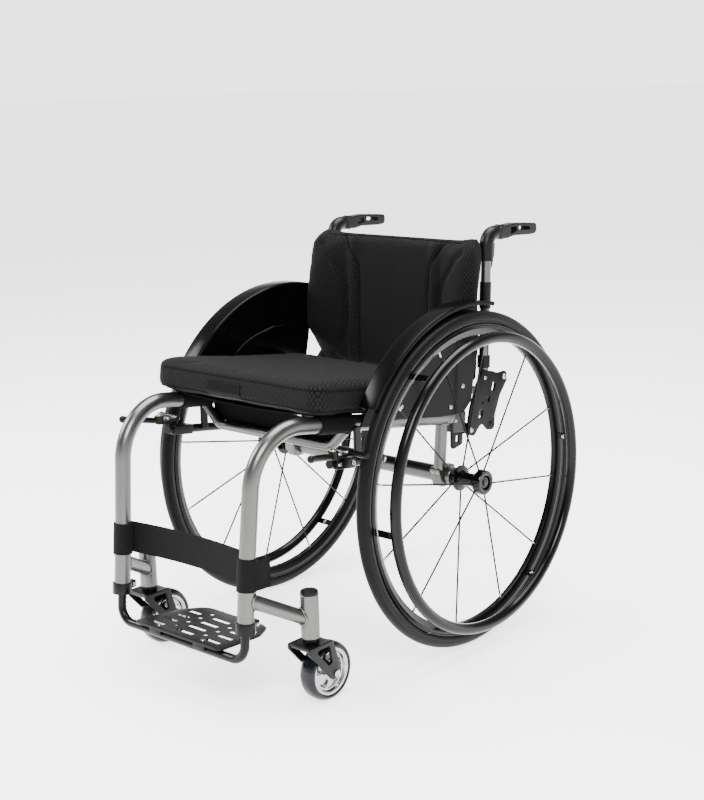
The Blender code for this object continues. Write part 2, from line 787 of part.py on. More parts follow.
def build_caster(label, side, root, paint):
    """A swivelling fork with its wheel, tyre and axle bolt."""
    stem = Vector((side * CASTER_X, STEM_Y, HOUSING_BOTTOM))
    swivel = empty(f"caster_{label}", stem, root)
    centre = Vector((side * CASTER_X, CASTER_Y, CASTER_RADIUS))
    place = Matrix.Translation(centre)

    outline = rounded(
        [
            (-0.4170, 0.1120),
            (-0.4170, 0.1020),
            (-0.3640, 0.0420),
            (-0.3420, 0.0440),
            (-0.3430, 0.0600),
            (-0.3600, 0.1120),
        ],
        [0.003, 0.008, 0.010, 0.008, 0.010, 0.003],
    )
    plates = []
    for hand in (-1, 1):
        low, high = sorted((hand * FORK_GAP, hand * (FORK_GAP + FORK_PLATE)))
        plates.append(slab(outline, low + centre.x, high + centre.x))
    crown = rounded(
        [(-0.4170, 0.1118), (-0.4150, 0.1050), (-0.3640, 0.1060), (-0.3605, 0.1118)],
        [0.002, 0.002, 0.002, 0.002],
        2,
    )
    reach = FORK_GAP + 0.0010
    fork = node(
        f"caster_fork_{label}",
        slab(crown, centre.x - reach, centre.x + reach),
        paint["fork"],
        swivel,
    )
    join(fork, merged(*plates))
    boss = bar((stem.x, stem.y, 0.1110), (stem.x, stem.y, HOUSING_BOTTOM - 0.0006), 0.0140, 16)
    join(fork, boss)
    join(fork, bar((stem.x, stem.y, 0.1150), (stem.x, stem.y, 0.1800), 0.0060))
    window = rounded(
        [(-0.4030, 0.1045), (-0.3690, 0.1045), (-0.3630, 0.0740), (-0.3720, 0.0700)],
        [0.004, 0.004, 0.003, 0.003],
    )
    wide = FORK_GAP + FORK_PLATE + 0.01
    cut(fork, slab(window, centre.x - wide, centre.x - FORK_GAP + 0.002))
    cut(fork, slab(window, centre.x + FORK_GAP - 0.002, centre.x + wide))
    cut(fork, moved(bar((-wide, 0, 0), (wide, 0, 0), 0.0044), place))

    wheel = empty(f"caster_wheel_{label}", centre, swivel)
    flat = math.pi / CASTER_FACETS
    grow = 1 / math.cos(flat)
    half = CASTER_WIDTH / 2
    section = [
        (-half + 0.0015, 0.0412),
        (half - 0.0015, 0.0412),
        (half, 0.0440),
        (half - 0.0045, 0.0490),
        (0.0050, CASTER_RADIUS),
        (-0.0050, CASTER_RADIUS),
        (-half + 0.0045, 0.0490),
        (-half, 0.0440),
    ]
    tyre = turned([(x, r * grow) for x, r in section], CASTER_FACETS, closed=True, phase=flat)
    node(f"caster_tyre_{label}", moved(tyre, place), paint["caster_tyre"], wheel)
    profile = [
        (-FORK_GAP + 0.0006, 0.0046),
        (-FORK_GAP + 0.0006, 0.0090),
        (-0.0120, 0.0110),
        (-0.0080, 0.0330),
        (-0.0130, 0.0360),
        (-0.0140, 0.0408),
        (0.0140, 0.0408),
        (0.0130, 0.0360),
        (0.0080, 0.0330),
        (0.0120, 0.0110),
        (FORK_GAP - 0.0006, 0.0090),
        (FORK_GAP - 0.0006, 0.0046),
    ]
    centre_piece = node(
        f"caster_hub_{label}",
        moved(turned(profile, CASTER_FACETS, closed=True, phase=flat), place),
        paint["polished"],
        wheel,
    )
    windows = []
    for index in range(5):
        hole = rounded(
            [(-0.0035, 0.0145), (0.0035, 0.0145), (0.0115, 0.0300), (-0.0115, 0.0300)],
            [0.0020, 0.0020, 0.0045, 0.0045],
            1,
        )
        cutter = slab(hole, -0.03, 0.03)
        windows.append(moved(cutter, Matrix.Rotation(index * math.tau / 5, 4, "X")))
    cut(centre_piece, moved(merged(*windows), place))

    end = FORK_GAP + FORK_PLATE
    profile = [
        (-end - 0.0030, 0.0),
        (-end - 0.0030, 0.0062),
        (-end - GAP, 0.0068),
        (-end - GAP, 0.0040),
        (end + GAP, 0.0040),
        (end + GAP, 0.0068),
        (end + 0.0030, 0.0062),
        (end + 0.0030, 0.0),
    ]
    node(f"caster_axle_{label}", moved(turned(profile, 12), place), paint["steel"], swivel)


# ---------------------------------------------------------------- back


def back_section(z):
    """Half of the pad's plan at a height: (x, y) from the rear middle round to the front."""
    lean = 0.0500 * (z - 0.6000)
    crown = max(0.0, (z - 0.690) / 0.034)
    flare = min(1.0, max(0.0, (z - 0.500) / 0.075))
    wing = 0.0250 * (1 - crown**2) * flare
    side = 0.1880 - 0.0130 * crown**2
    front = 0.0840 + 0.0070 * crown**2
    return [
        (0.0, 0.1100 + lean),
        (side - 0.010, 0.1080 + lean),
        (side + 0.002, 0.1000 + lean),
        (side, front - wing + 0.006 + lean),
        (side - 0.016, front - wing + lean),
        (0.1450, front - 0.4 * wing + lean),
        (0.1180, front - 0.002 + lean),
        (0.0, front + 0.004 + lean),
    ]


def build_back(root, paint):
    """The fold-down back: plates, canes, cross bar, pad and folding push handles."""
    back = empty("backrest", BACK_PIVOT, root)
    heights = [0.4880, 0.5000, 0.5300, 0.5750, 0.6300, 0.6900, 0.7100, 0.7240]
    pad = bmesh.new()
    loops = []
    for z in heights:
        half = back_section(z)
        mirrored = [(-x, y) for x, y in half[1:-1]]
        loops.append([pad.verts.new((x, y, z)) for x, y in half + mirrored[::-1]])
    for lower, upper in zip(loops, loops[1:]):
        for index in range(len(lower)):
            after = (index + 1) % len(lower)
            pad.faces.new((lower[index], lower[after], upper[after], upper[index]))
    pad.faces.new(loops[0])
    pad.faces.new(loops[-1])
    node("back_pad", outward(pad), paint["mesh_fabric"], back)

    lean = (CANE_TOP - CANE_FOOT).normalized()
    plate_outline = rounded(
        [
            (0.0960, 0.4840),
            (0.1240, 0.4790),
            (0.1420, 0.4720),
            (0.1690, 0.4730),
            (0.1700, 0.4540),
            (0.1480, 0.4300),
            (0.1310, 0.3940),
            (0.1290, 0.3660),
            (0.1080, 0.3700),
            (0.0900, 0.3880),
            (0.0660, 0.3660),
            (0.0450, 0.3740),
            (0.0560, 0.4200),
            (0.0760, 0.4620),
        ],
        [0.008, 0.010, 0.012, 0.008, 0.008, 0.040, 0.025, 0.008, 0.006, 0.012, 0.009, 0.009, 0.040, 0.030],
    )
    openings = [
        arc((0.1288, 0.4530), 0.0052, 0, 180, 4) + arc((0.1262, 0.4450), 0.0052, 180, 360, 4),
        arc((0.1129, 0.4300), 0.0036, 0, 180, 3) + arc((0.1112, 0.4250), 0.0036, 180, 360, 3),
        arc((0.0878, 0.4070), 0.0066, 0, 180, 4) + arc((0.0868, 0.4020), 0.0066, 180, 360, 4),
        arc((0.0930, 0.4240), 0.0030, 0, 315, 7),
        arc((0.1150, 0.3830), 0.0030, 0, 315, 7),
    ]
    for label, side in SIDES.items():
        foot = on_side(CANE_FOOT, side)
        top = on_side(CANE_TOP, side)
        node(f"back_cane_{label}", bar(foot, top, CANE_RADIUS), paint["silver"], back)
        plate = node(
            f"back_plate_{label}",
            moved(slab(plate_outline, 0.1978, 0.2026), mirror_of(side)),
            paint["plate"],
            back,
        )
        holes = merged(*[slab(points, 0.19, 0.21) for points in openings])
        cut(plate, moved(holes, mirror_of(side)))
        build_push_handle(label, side, back, lean, paint)
    inner = CANE_X - CANE_RADIUS - GAP
    bar_y, bar_z = 0.1130, 0.4400
    node(
        "back_cross_bar",
        bar((-inner, bar_y, bar_z), (inner, bar_y, bar_z), 0.0080),
        paint["silver"],
        back,
    )


def build_push_handle(label, side, back, lean, paint):
    """The elbow on top of a cane and the grip that folds down from it."""
    pivot = on_side(HANDLE_PIVOT, side)
    low = on_side(CANE_TOP, side) - lean * 0.0170
    corner = Vector((pivot.x, low.y + 0.0020, pivot.z))
    path = bent_path([low, corner, pivot], [0.0220], (4,))
    elbow = node(f"handle_elbow_{label}", tube(path, 0.0132), paint["plastic"], back)
    trim = [
        block((pivot.x + hand * 0.0165, pivot.y + 0.003, pivot.z), (0.0200, 0.0360, 0.0400))
        for hand in (-1, 1)
    ]
    cut(elbow, merged(*trim))
    disc = bar((pivot.x - 0.0064, pivot.y, pivot.z), (pivot.x + 0.0064, pivot.y, pivot.z), 0.0138, 16)
    join(elbow, disc)
    cane = bar(on_side(CANE_FOOT, side), on_side(CANE_TOP, side) + lean * GAP, CANE_RADIUS + GAP, 16)
    cut(elbow, cane)

    hinge = empty(f"grip_hinge_{label}", pivot, back)
    tip = GRIP_LENGTH
    outline = rounded(
        [
            (-0.0120, 0.0110),
            (0.0400, 0.0130),
            (tip, 0.0070),
            (tip, -0.0120),
            (tip - 0.0200, -0.0130),
            (0.0350, -0.0100),
            (0.0120, -0.0130),
            (-0.0120, -0.0110),
        ],
        [0.011, 0.02, 0.006, 0.008, 0.01, 0.02, 0.006, 0.010],
    )
    shift = Matrix.Translation(pivot)
    grip = node(
        f"grip_{label}",
        moved(slab(outline, -0.0108, 0.0108), shift),
        paint["plastic"],
        hinge,
    )
    windows = [
        rounded(
            [(0.0220, 0.0070), (0.0400, 0.0070), (0.0420, -0.0020), (0.0220, -0.0060)],
            [0.002, 0.002, 0.002, 0.002],
            2,
        ),
        rounded(
            [(0.0480, 0.0070), (0.0820, 0.0030), (0.0860, -0.0030), (0.0480, -0.0010)],
            [0.002, 0.002, 0.002, 0.002],
            2,
        ),
    ]
    cut(grip, moved(merged(*[slab(points, -0.02, 0.02) for points in windows]), shift))
    clearance = bar((-0.0070, 0, 0), (0.0070, 0, 0), 0.0146, 16)
    cut(grip, moved(clearance, shift))
    throat = block((0, -0.0060, 0), (0.0140, 0.0160, 0.0300))
    cut(grip, moved(throat, shift))
    underside = block((0, 0.0005, -0.0090), (0.0140, 0.0290, 0.0184))
    cut(grip, moved(underside, shift))


# ---------------------------------------------------------------- brakes


def build_brake(label, side, root, paint):
    """A compact scissor brake: clamp and tube, thumb lever, and the arm that meets the tyre."""
    mount_y = -0.2930
    tube_z = 0.3956
    front = Vector((side * 0.1995, -0.3250, tube_z + 0.0045))
    rear = Vector((side * 0.1995, -0.1880, tube_z - 0.0150))
    mount = node(f"brake_mount_{label}", bar(front, rear, BRAKE_TUBE), paint["black"], root)
    clamp = block((side * 0.1995, mount_y, tube_z), (0.0200, 0.0560, 0.0200), RAIL_TILT)
    join(mount, clamp)
    hanger = block((side * 0.1895, mount_y + 0.010, 0.4200), (0.0050, 0.0320, 0.0620))
    join(mount, hanger)
    cut(mount, tube(side_path(side), 0.0166 + GAP, 16))

    pivot = on_side(BRAKE_PIVOT, side)
    lever_place = empty(f"brake_lever_pivot_{label}", pivot, root)
    reach = Vector((side * 0.0172, -0.0696, 0.0090))
    lever = node(
        f"brake_lever_{label}",
        tube([pivot + reach * 0.12, pivot + reach], 0.0048),
        paint["black"],
        lever_place,
    )
    ball = bmesh.new()
    bmesh.ops.create_uvsphere(ball, u_segments=12, v_segments=8, radius=0.0070)
    ball.transform(Matrix.Translation(pivot + reach * 1.03))
    join(lever, ball)
    join(lever, bar(pivot - Vector((0, 0, 0.0030)), pivot + Vector((0, 0, 0.0040)), 0.0090, 12))

    arm_pivot = on_side(BRAKE_ARM_PIVOT, side)
    arm_place = empty(f"brake_arm_pivot_{label}", arm_pivot, root)
    body = rounded(
        [
            (arm_pivot.x - side * 0.0070, arm_pivot.y - 0.0440),
            (arm_pivot.x + side * 0.0080, arm_pivot.y - 0.0440),
            (arm_pivot.x + side * 0.0080, arm_pivot.y + 0.0080),
            (arm_pivot.x - side * 0.0070, arm_pivot.y + 0.0080),
        ],
        [0.006, 0.006, 0.006, 0.006],
    )
    arm = node(
        f"brake_arm_{label}",
        slab(body, arm_pivot.z, arm_pivot.z + 0.0050, "Z"),
        paint["black"],
        arm_place,
    )
    pad_y = -0.2912
    start = Vector((arm_pivot.x + side * 0.0040, pad_y, arm_pivot.z + 0.0045))
    end = Vector((side * 0.2560, pad_y, arm_pivot.z + 0.0045))
    join(arm, bar(start, end, 0.0050))


# ---------------------------------------------------------------- whole chair


def main():
    clear_scene()
    paint = {
        "silver": finish("satin_silver", (0.56, 0.56, 0.54), 0.32, 0.9),
        "grey": finish("cast_grey", (0.22, 0.22, 0.22), 0.45, 0.6),
        "steel": finish("steel", (0.60, 0.60, 0.60), 0.25, 1.0),
        "polished": finish("polished_silver", (0.80, 0.80, 0.80), 0.12, 1.0),
        "black": finish("satin_black", (0.020, 0.020, 0.021), 0.40),
        "plate": finish("plate_black", (0.018, 0.018, 0.020), 0.45, 0.3),
        "gloss": finish("gloss_black", (0.010, 0.010, 0.011), 0.12),
        "plastic": finish("handle_plastic", (0.022, 0.022, 0.023), 0.42),
        "dark": finish("dark_grey_plate", (0.055, 0.056, 0.058), 0.55),
        "fabric": finish("black_webbing", (0.012, 0.012, 0.012), 0.85),
        "mesh_fabric": finish("spacer_mesh", (0.018, 0.018, 0.020), 0.90),
        "tyre": finish("tyre_rubber", (0.022, 0.023, 0.025), 0.60),
        "rim": finish("rim_black", (0.015, 0.015, 0.016), 0.28, 0.5),
        "hub": finish("hub_black", (0.016, 0.016, 0.017), 0.22, 0.4),
        "handrim": finish("handrim_black", (0.014, 0.014, 0.015), 0.20, 0.6),
        "fork": finish("fork_black", (0.020, 0.020, 0.020), 0.38, 0.4),
        "caster_tyre": finish("caster_tyre", (0.012, 0.014, 0.020), 0.18),
    }
    root = empty("wheelchair", (0, 0, 0))
    root.location.y = AXLE_Y

    build_main_tubes(root, paint["silver"])
    build_caster_supports(root, paint["silver"], paint["black"])
    build_axle_and_struts(root, paint["silver"])
    build_rear_brackets(root, paint["grey"])
    build_front_cross_tube(root, paint["silver"])
    build_seat(root, paint["fabric"], paint["mesh_fabric"])
    build_side_guards(root, paint["gloss"])
    build_calf_strap(root, paint["fabric"])
    build_footrest_clamps(root, paint["black"])
    build_footrest(root, paint["black"], paint["dark"])
    for label, side in SIDES.items():
        build_rear_wheel(label, side, root, paint)
        build_caster(label, side, root, paint)
        build_brake(label, side, root, paint)
    build_back(root, paint)


main()
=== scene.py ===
"""A rigid-frame manual wheelchair: its detailed pieces and finishes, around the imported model.

Metres, +Z up.  The chair faces -Y and +X is the sitter's left.  Shapes are modelled with Y = 0 at
the rear axle, and Form.piece carries each one to its place in the shared frame.
"""

import json
import logging
import math
from dataclasses import dataclass, field
from enum import Enum
from typing import Iterable, Sequence

import bmesh
import bpy
from mathutils import Matrix, Vector
from mathutils.bvhtree import BVHTree
from mathutils.kdtree import KDTree


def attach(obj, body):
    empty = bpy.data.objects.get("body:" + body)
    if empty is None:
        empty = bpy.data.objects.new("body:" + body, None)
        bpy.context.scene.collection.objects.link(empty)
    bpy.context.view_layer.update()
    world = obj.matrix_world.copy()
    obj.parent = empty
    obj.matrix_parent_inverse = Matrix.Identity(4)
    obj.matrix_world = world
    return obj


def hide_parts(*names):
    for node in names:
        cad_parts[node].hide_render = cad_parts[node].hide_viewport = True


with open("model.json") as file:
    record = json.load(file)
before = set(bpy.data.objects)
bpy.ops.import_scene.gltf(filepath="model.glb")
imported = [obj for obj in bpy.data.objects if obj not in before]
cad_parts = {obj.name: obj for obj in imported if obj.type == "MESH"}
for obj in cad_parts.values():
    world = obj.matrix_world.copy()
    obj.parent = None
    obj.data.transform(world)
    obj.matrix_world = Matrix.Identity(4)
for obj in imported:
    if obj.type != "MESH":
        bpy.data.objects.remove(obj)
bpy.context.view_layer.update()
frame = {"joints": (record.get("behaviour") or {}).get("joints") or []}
LOG = logging.getLogger("wheelchair")
JOINTS = {joint["name"]: joint for joint in frame["joints"]}
AXLE = Vector((0.0, JOINTS["wheel_spin_left"]["pos_m"][1], 0.0))
Point = Sequence[float]
UP = Vector((0, 0, 1))
UPRIGHT = Matrix.Rotation(-math.pi / 2, 4, "Y")  # a shape turned about X, stood up along Z
SLEEVE_BORE = 0.0143  # cloth and webbing round a 28 mm tube
WELD_STEPS = 72
STUFF_FRAMES = 20


class Side(Enum):
    """The two sides of the chair, as the sign of X."""

    LEFT = 1
    RIGHT = -1

    @property
    def label(self) -> str:
        """The ending of the names of the pieces on this side."""
        return self.name.lower()

    @property
    def mirror(self) -> Matrix:
        """The matrix that carries a left-hand shape to this side."""
        return Matrix.Scale(self.value, 4, Vector((1, 0, 0)))

    def at(self, place: Point) -> Vector:
        """A left-hand place carried to this side."""
        return Vector((place[0] * self.value, place[1], place[2]))


class Axis(Enum):
    """The direction in which a flat plate is extruded."""

    X = "x"
    Z = "z"


# ---------------------------------------------------------------- outlines and paths


def bend(corners: Iterable[Point], radii: Sequence[float], steps: int = 16) -> list[Vector]:
    """Join straight runs by a circular bend at each inner corner.

    Args:
        corners: The corner points of the run, ends included.
        radii: One bend radius for each inner corner.
        steps: How many segments each bend has.

    Returns:
        The points of the rounded path.
    """
    places = [Vector(corner) for corner in corners]
    path = [places[0]]
    for before, corner, after, radius in zip(places, places[1:], places[2:], radii):
        back = (before - corner).normalized()
        ahead = (after - corner).normalized()
        half = back.angle(ahead) / 2
        centre = corner + (back + ahead).normalized() * radius / math.sin(half)
        reach = radius / math.tan(half)
        start = (corner + back * reach - centre).normalized()
        end = (corner + ahead * reach - centre).normalized()
        path += [centre + radius * start.slerp(end, step / steps) for step in range(steps + 1)]
    path.append(places[-1])
    return path


def arc(centre: Point, radius: float, start: float, end: float, steps: int) -> list[tuple[float, float]]:
    """Points along a circular arc.

    Args:
        centre: The centre, as two numbers.
        radius: The arc's radius.
        start: The first angle, in degrees.
        end: The last angle, in degrees.
        steps: How many segments the arc has.

    Returns:
        The points, ends included.
    """
    angles = [math.radians(start + (end - start) * step / steps) for step in range(steps + 1)]
    return [(centre[0] + radius * math.cos(a), centre[1] + radius * math.sin(a)) for a in angles]


def rounded(corners: Sequence[Point], radii: Sequence[float], steps: int = 6) -> list[tuple[float, float]]:
    """A closed flat outline whose corners are rounded.

    Args:
        corners: The sharp corners, in order.
        radii: One radius for each corner.
        steps: How many segments each rounding has.

    Returns:
        The points of the outline.
    """
    outline = []
    for index, (corner, radius) in enumerate(zip(corners, radii)):
        here = Vector(corner)
        before = (Vector(corners[index - 1]) - here).normalized()
        after = (Vector(corners[(index + 1) % len(corners)]) - here).normalized()
        half = before.angle(after) / 2
        centre = here + (before + after).normalized() * radius / math.sin(half)
        start = here + before * radius / math.tan(half) - centre
        end = here + after * radius / math.tan(half) - centre
        turn = start.angle_signed(end)
        for step in range(steps + 1):
            spoke = start.copy()
            spoke.rotate(Matrix.Rotation(-turn * step / steps, 2))
            outline.append(tuple(centre + spoke))
    return outline


def slot(x: float, y: float, length: float, width: float) -> list[tuple[float, float]]:
    """The outline of a slot that runs along the first direction.

    Args:
        x: The slot's middle along its length.
        y: The slot's middle across its length.
        length: Its length from end to end.
        width: Its width.

    Returns:
        The points of the outline.
    """
    reach = (length - width) / 2
    return arc((x + reach, y), width / 2, -90, 90, 8) + arc((x - reach, y), width / 2, 90, 270, 8)


# ---------------------------------------------------------------- forms


class Form:
    """A closed shape under construction, as a bmesh."""

    def __init__(self, mesh: bmesh.types.BMesh | None = None) -> None:
        """Start from a bmesh, or from an empty one."""
        self.bm = mesh if mesh is not None else bmesh.new()

    @classmethod
    def tube(cls, path: Iterable[Point], radius: float, sides: int = 28, ring: bool = False) -> "Form":
        """A round bar along a path, from a bevelled curve.

        Args:
            path: The centre line's points.
            radius: The bar's radius.
            sides: How many sides it has round its girth.
            ring: Whether the path closes on itself.

        Returns:
            The bar, with flat ends unless it is a ring.
        """
        curve = bpy.data.curves.new("run", "CURVE")
        curve.dimensions = "3D"
        curve.bevel_depth = radius
        curve.bevel_resolution = (sides - 4) // 2
        curve.use_fill_caps = not ring
        places = list(path)
        run = curve.splines.new("POLY")
        run.points.add(len(places) - 1)
        for point, place in zip(run.points, places):
            point.co = (*place, 1.0)
        run.use_cyclic_u = ring
        carrier = bpy.data.objects.new("run", curve)
        bpy.context.scene.collection.objects.link(carrier)
        graph = bpy.context.evaluated_depsgraph_get()
        mesh = bpy.data.meshes.new_from_object(carrier.evaluated_get(graph))
        made = cls()
        made.bm.from_mesh(mesh)
        bpy.data.objects.remove(carrier, do_unlink=True)
        bpy.data.curves.remove(curve)
        bpy.data.meshes.remove(mesh)
        bmesh.ops.remove_doubles(made.bm, verts=made.bm.verts, dist=1e-6)
        return made.outward()

    @classmethod
    def rod(cls, start: Point, end: Point, radius: float, sides: int = 28) -> "Form":
        """A straight round bar."""
        return cls.tube([Vector(start), Vector(end)], radius, sides)

    @classmethod
    def turned(cls, profile: Sequence[Point], steps: int = 64, ring: bool = False) -> "Form":
        """A shape turned about X.

        Args:
            profile: The (x, radius) points of the section.
            steps: How many facets it has round its girth.
            ring: Whether the section closes on itself, as a tyre's does.

        Returns:
            The turned shape.
        """
        made = cls()
        verts = [made.bm.verts.new((x, 0.0, radius)) for x, radius in profile]
        edges = [made.bm.edges.new(pair) for pair in zip(verts, verts[1:])]
        if ring:
            edges.append(made.bm.edges.new((verts[-1], verts[0])))
        bmesh.ops.spin(
            made.bm,
            geom=verts + edges,
            axis=(1, 0, 0),
            cent=(0, 0, 0),
            steps=steps,
            angle=math.tau,
            use_merge=True,
        )
        bmesh.ops.remove_doubles(made.bm, verts=made.bm.verts, dist=1e-6)
        return made.outward()

    @classmethod
    def plate(cls, outline: Sequence[Point], low: float, high: float, axis: Axis = Axis.X) -> "Form":
        """A flat plate extruded from an outline.

        Args:
            outline: The (y, z) points about X, or the (x, y) points about Z.
            low: Where the plate starts along the axis.
            high: Where it ends.
            axis: The direction of extrusion.

        Returns:
            The plate.
        """
        made = cls()
        if axis is Axis.X:
            verts = [made.bm.verts.new((low, a, b)) for a, b in outline]
            shift = (high - low, 0, 0)
        else:
            verts = [made.bm.verts.new((a, b, low)) for a, b in outline]
            shift = (0, 0, high - low)
        face = made.bm.faces.new(verts)
        grown = bmesh.ops.extrude_face_region(made.bm, geom=[face])
        tops = [item for item in grown["geom"] if isinstance(item, bmesh.types.BMVert)]
        bmesh.ops.translate(made.bm, verts=tops, vec=shift)
        return made.outward()

    @classmethod
    def block(cls, centre: Point, size: Point, tilt: float = 0.0) -> "Form":
        """A box, tilted about X through its centre."""
        made = cls()
        bmesh.ops.create_cube(made.bm, size=1.0)
        made.bm.transform(Matrix.Diagonal((*size, 1.0)))
        made.bm.transform(Matrix.Translation(centre) @ Matrix.Rotation(tilt, 4, "X"))
        return made

    @classmethod
    def ball(cls, centre: Point, radius: float) -> "Form":
        """A round knob."""
        made = cls()
        bmesh.ops.create_uvsphere(made.bm, u_segments=32, v_segments=20, radius=radius)
        made.bm.transform(Matrix.Translation(centre))
        return made

    @classmethod
    def screw(cls, place: Point, facing: Point, radius: float, height: float = 0.0022) -> "Form":
        """A domed screw head with a hexagon socket, standing on a surface.

        Args:
            place: Where the head's base is centred.
            facing: The direction in which it stands out.
            radius: The head's radius.
            height: How far it stands out.

        Returns:
            The head.
        """
        profile = [
            (-0.0008, 0.0), (-0.0008, radius), (height * 0.35, radius),
            (height * 0.80, radius * 0.86), (height, radius * 0.58), (height, radius * 0.42),
            (height * 0.35, radius * 0.40), (height * 0.35, 0.0),
        ]
        turn = Vector((1, 0, 0)).rotation_difference(Vector(facing).normalized())
        return cls.turned(profile, 24).moved(Matrix.Translation(Vector(place)) @ turn.to_matrix().to_4x4())

    def outward(self) -> "Form":
        """Turn every face of the closed shape outward."""
        bmesh.ops.recalc_face_normals(self.bm, faces=self.bm.faces)
        if self.bm.calc_volume(signed=True) < 0:
            bmesh.ops.reverse_faces(self.bm, faces=self.bm.faces)
        return self

    def moved(self, matrix: Matrix) -> "Form":
        """Move the shape, keeping its faces outward when the matrix mirrors it."""
        self.bm.transform(matrix)
        if matrix.determinant() < 0:
            bmesh.ops.reverse_faces(self.bm, faces=self.bm.faces)
        return self

    def softened(self, width: float, segments: int = 3, angle: float = 40.0) -> "Form":
        """Round the hard edges.

        Args:
            width: The rounding's width.
            segments: How many strips it has.
            angle: The least angle, in degrees, of an edge that is rounded.

        Returns:
            The same form.
        """
        limit = math.radians(angle)
        hard = [edge for edge in self.bm.edges if edge.is_manifold and edge.calc_face_angle(0.0) > limit]
        bmesh.ops.bevel(
            self.bm,
            geom=hard,
            offset=width,
            offset_type="OFFSET",
            segments=segments,
            profile=0.5,
            affect="EDGES",
            clamp_overlap=True,
            material=-1,
        )
        return self

    def with_forms(self, *others: "Form") -> "Form":
        """Hold other closed shapes beside this one, in one mesh."""
        for other in others:
            scratch = bpy.data.meshes.new("scratch")
            other.bm.to_mesh(scratch)
            other.bm.free()
            self.bm.from_mesh(scratch)
            bpy.data.meshes.remove(scratch)
        return self

    def _solved(self, other: "Form", operation: str) -> "Form":
        """Combine this shape with another by an exact Boolean, and take the result."""
        pair = []
        for form in (self, other):
            mesh = bpy.data.meshes.new("scratch")
            form.bm.to_mesh(mesh)
            form.bm.free()
            carrier = bpy.data.objects.new("scratch", mesh)
            bpy.context.scene.collection.objects.link(carrier)
            pair.append(carrier)
        step = pair[0].modifiers.new("solve", "BOOLEAN")
        step.object = pair[1]
        step.operation = operation
        step.solver = "EXACT"
        step.use_self = True
        graph = bpy.context.evaluated_depsgraph_get()
        result = bpy.data.meshes.new_from_object(pair[0].evaluated_get(graph))
        self.bm = bmesh.new()
        self.bm.from_mesh(result)
        for carrier in pair:
            mesh = carrier.data
            bpy.data.objects.remove(carrier, do_unlink=True)
            bpy.data.meshes.remove(mesh)
        bpy.data.meshes.remove(result)
        bmesh.ops.remove_doubles(self.bm, verts=self.bm.verts, dist=1e-6)
        return self

    def carved(self, *cutters: "Form") -> "Form":
        """Cut shapes out of this one."""
        return self._solved(Form().with_forms(*cutters), "DIFFERENCE")

    def fused(self, *others: "Form") -> "Form":
        """Fuse shapes that overlap this one onto it."""
        return self._solved(Form().with_forms(*others), "UNION")

    def grooved(self, lines: Iterable[Sequence[Point]], width: float, depth: float) -> "Form":
        """Press sewn channels into a soft surface.

        Args:
            lines: The channels' lines, each as points near the surface.
            width: The channel's width.
            depth: How deep it is pressed.  A negative depth raises a ridge.

        Returns:
            The same form.
        """
        places = [spot for line in lines for spot in dense(line, width / 3)]
        tree = KDTree(len(places))
        for index, spot in enumerate(places):
            tree.insert(spot, index)
        tree.balance()
        self.bm.normal_update()
        shifts = []
        for vert in self.bm.verts:
            gap = tree.find(vert.co)[2]
            if gap < 3 * width:
                shifts.append((vert, vert.normal * -depth * math.exp(-((gap / width) ** 2))))
        for vert, shift in shifts:
            vert.co += shift
        return self

    def fitted(self, low: Point, high: Point) -> "Form":
        """Scale and shift the shape so that it fills a box.

        Args:
            low: The box's lowest corner.
            high: Its highest corner.

        Returns:
            The same form.
        """
        for axis in range(3):
            values = [vert.co[axis] for vert in self.bm.verts]
            least, span = min(values), max(values) - min(values)
            for vert in self.bm.verts:
                vert.co[axis] = low[axis] + (vert.co[axis] - least) / span * (high[axis] - low[axis])
        return self

    def skin(self) -> BVHTree:
        """A search tree of the surface, for laying trim on it."""
        return BVHTree.FromBMesh(self.bm)

    def piece(
        self,
        name: str,
        finish: str,
        body: str,
        replaces: Sequence[str] = (),
        sharp: float = 16.5,
    ) -> bpy.types.Object:
        """Make the finished object, in its place in the shared frame, riding on its body.

        Args:
            name: The object's name.
            finish: The name of its finish in the palette.
            body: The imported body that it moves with.
            replaces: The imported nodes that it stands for.
            sharp: The angle, in degrees, past which an edge is drawn hard.

        Returns:
            The object.
        """
        material = PALETTE.use(finish)
        self.bm.transform(Matrix.Translation(AXLE))
        mapped(self.bm)
        mesh = bpy.data.meshes.new(name)
        self.bm.to_mesh(mesh)
        self.bm.free()
        mesh.shade_smooth()
        mesh.set_sharp_from_angle(angle=math.radians(sharp))
        mesh.materials.append(material)
        made = bpy.data.objects.new(name, mesh)
        bpy.context.scene.collection.objects.link(made)
        if replaces:
            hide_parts(*replaces)
        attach(made, body)
        LOG.info("%s: %d faces", name, len(mesh.polygons))
        return made


def dense(line: Sequence[Point], pitch: float) -> list[Vector]:
    """The points of a line, filled in to no more than a pitch apart.

    Args:
        line: The line's points.
        pitch: The largest distance between two points.

    Returns:
        The filled-in points.
    """
    places = [Vector(place) for place in line]
    filled = [places[0]]
    for start, end in zip(places, places[1:]):
        count = max(1, math.ceil((end - start).length / pitch))
        filled += [start.lerp(end, step / count) for step in range(1, count + 1)]
    return filled


def mapped(bm: bmesh.types.BMesh) -> None:
    """Give each face a flat map in metres, looked at along its main direction."""
    layer = bm.loops.layers.uv.verify()
    bm.normal_update()
    for face in bm.faces:
        lean = [abs(part) for part in face.normal]
        away = lean.index(max(lean))
        across, up = [(1, 2), (0, 2), (0, 1)][away]
        for loop in face.loops:
            loop[layer].uv = (loop.vert.co[across], loop.vert.co[up])


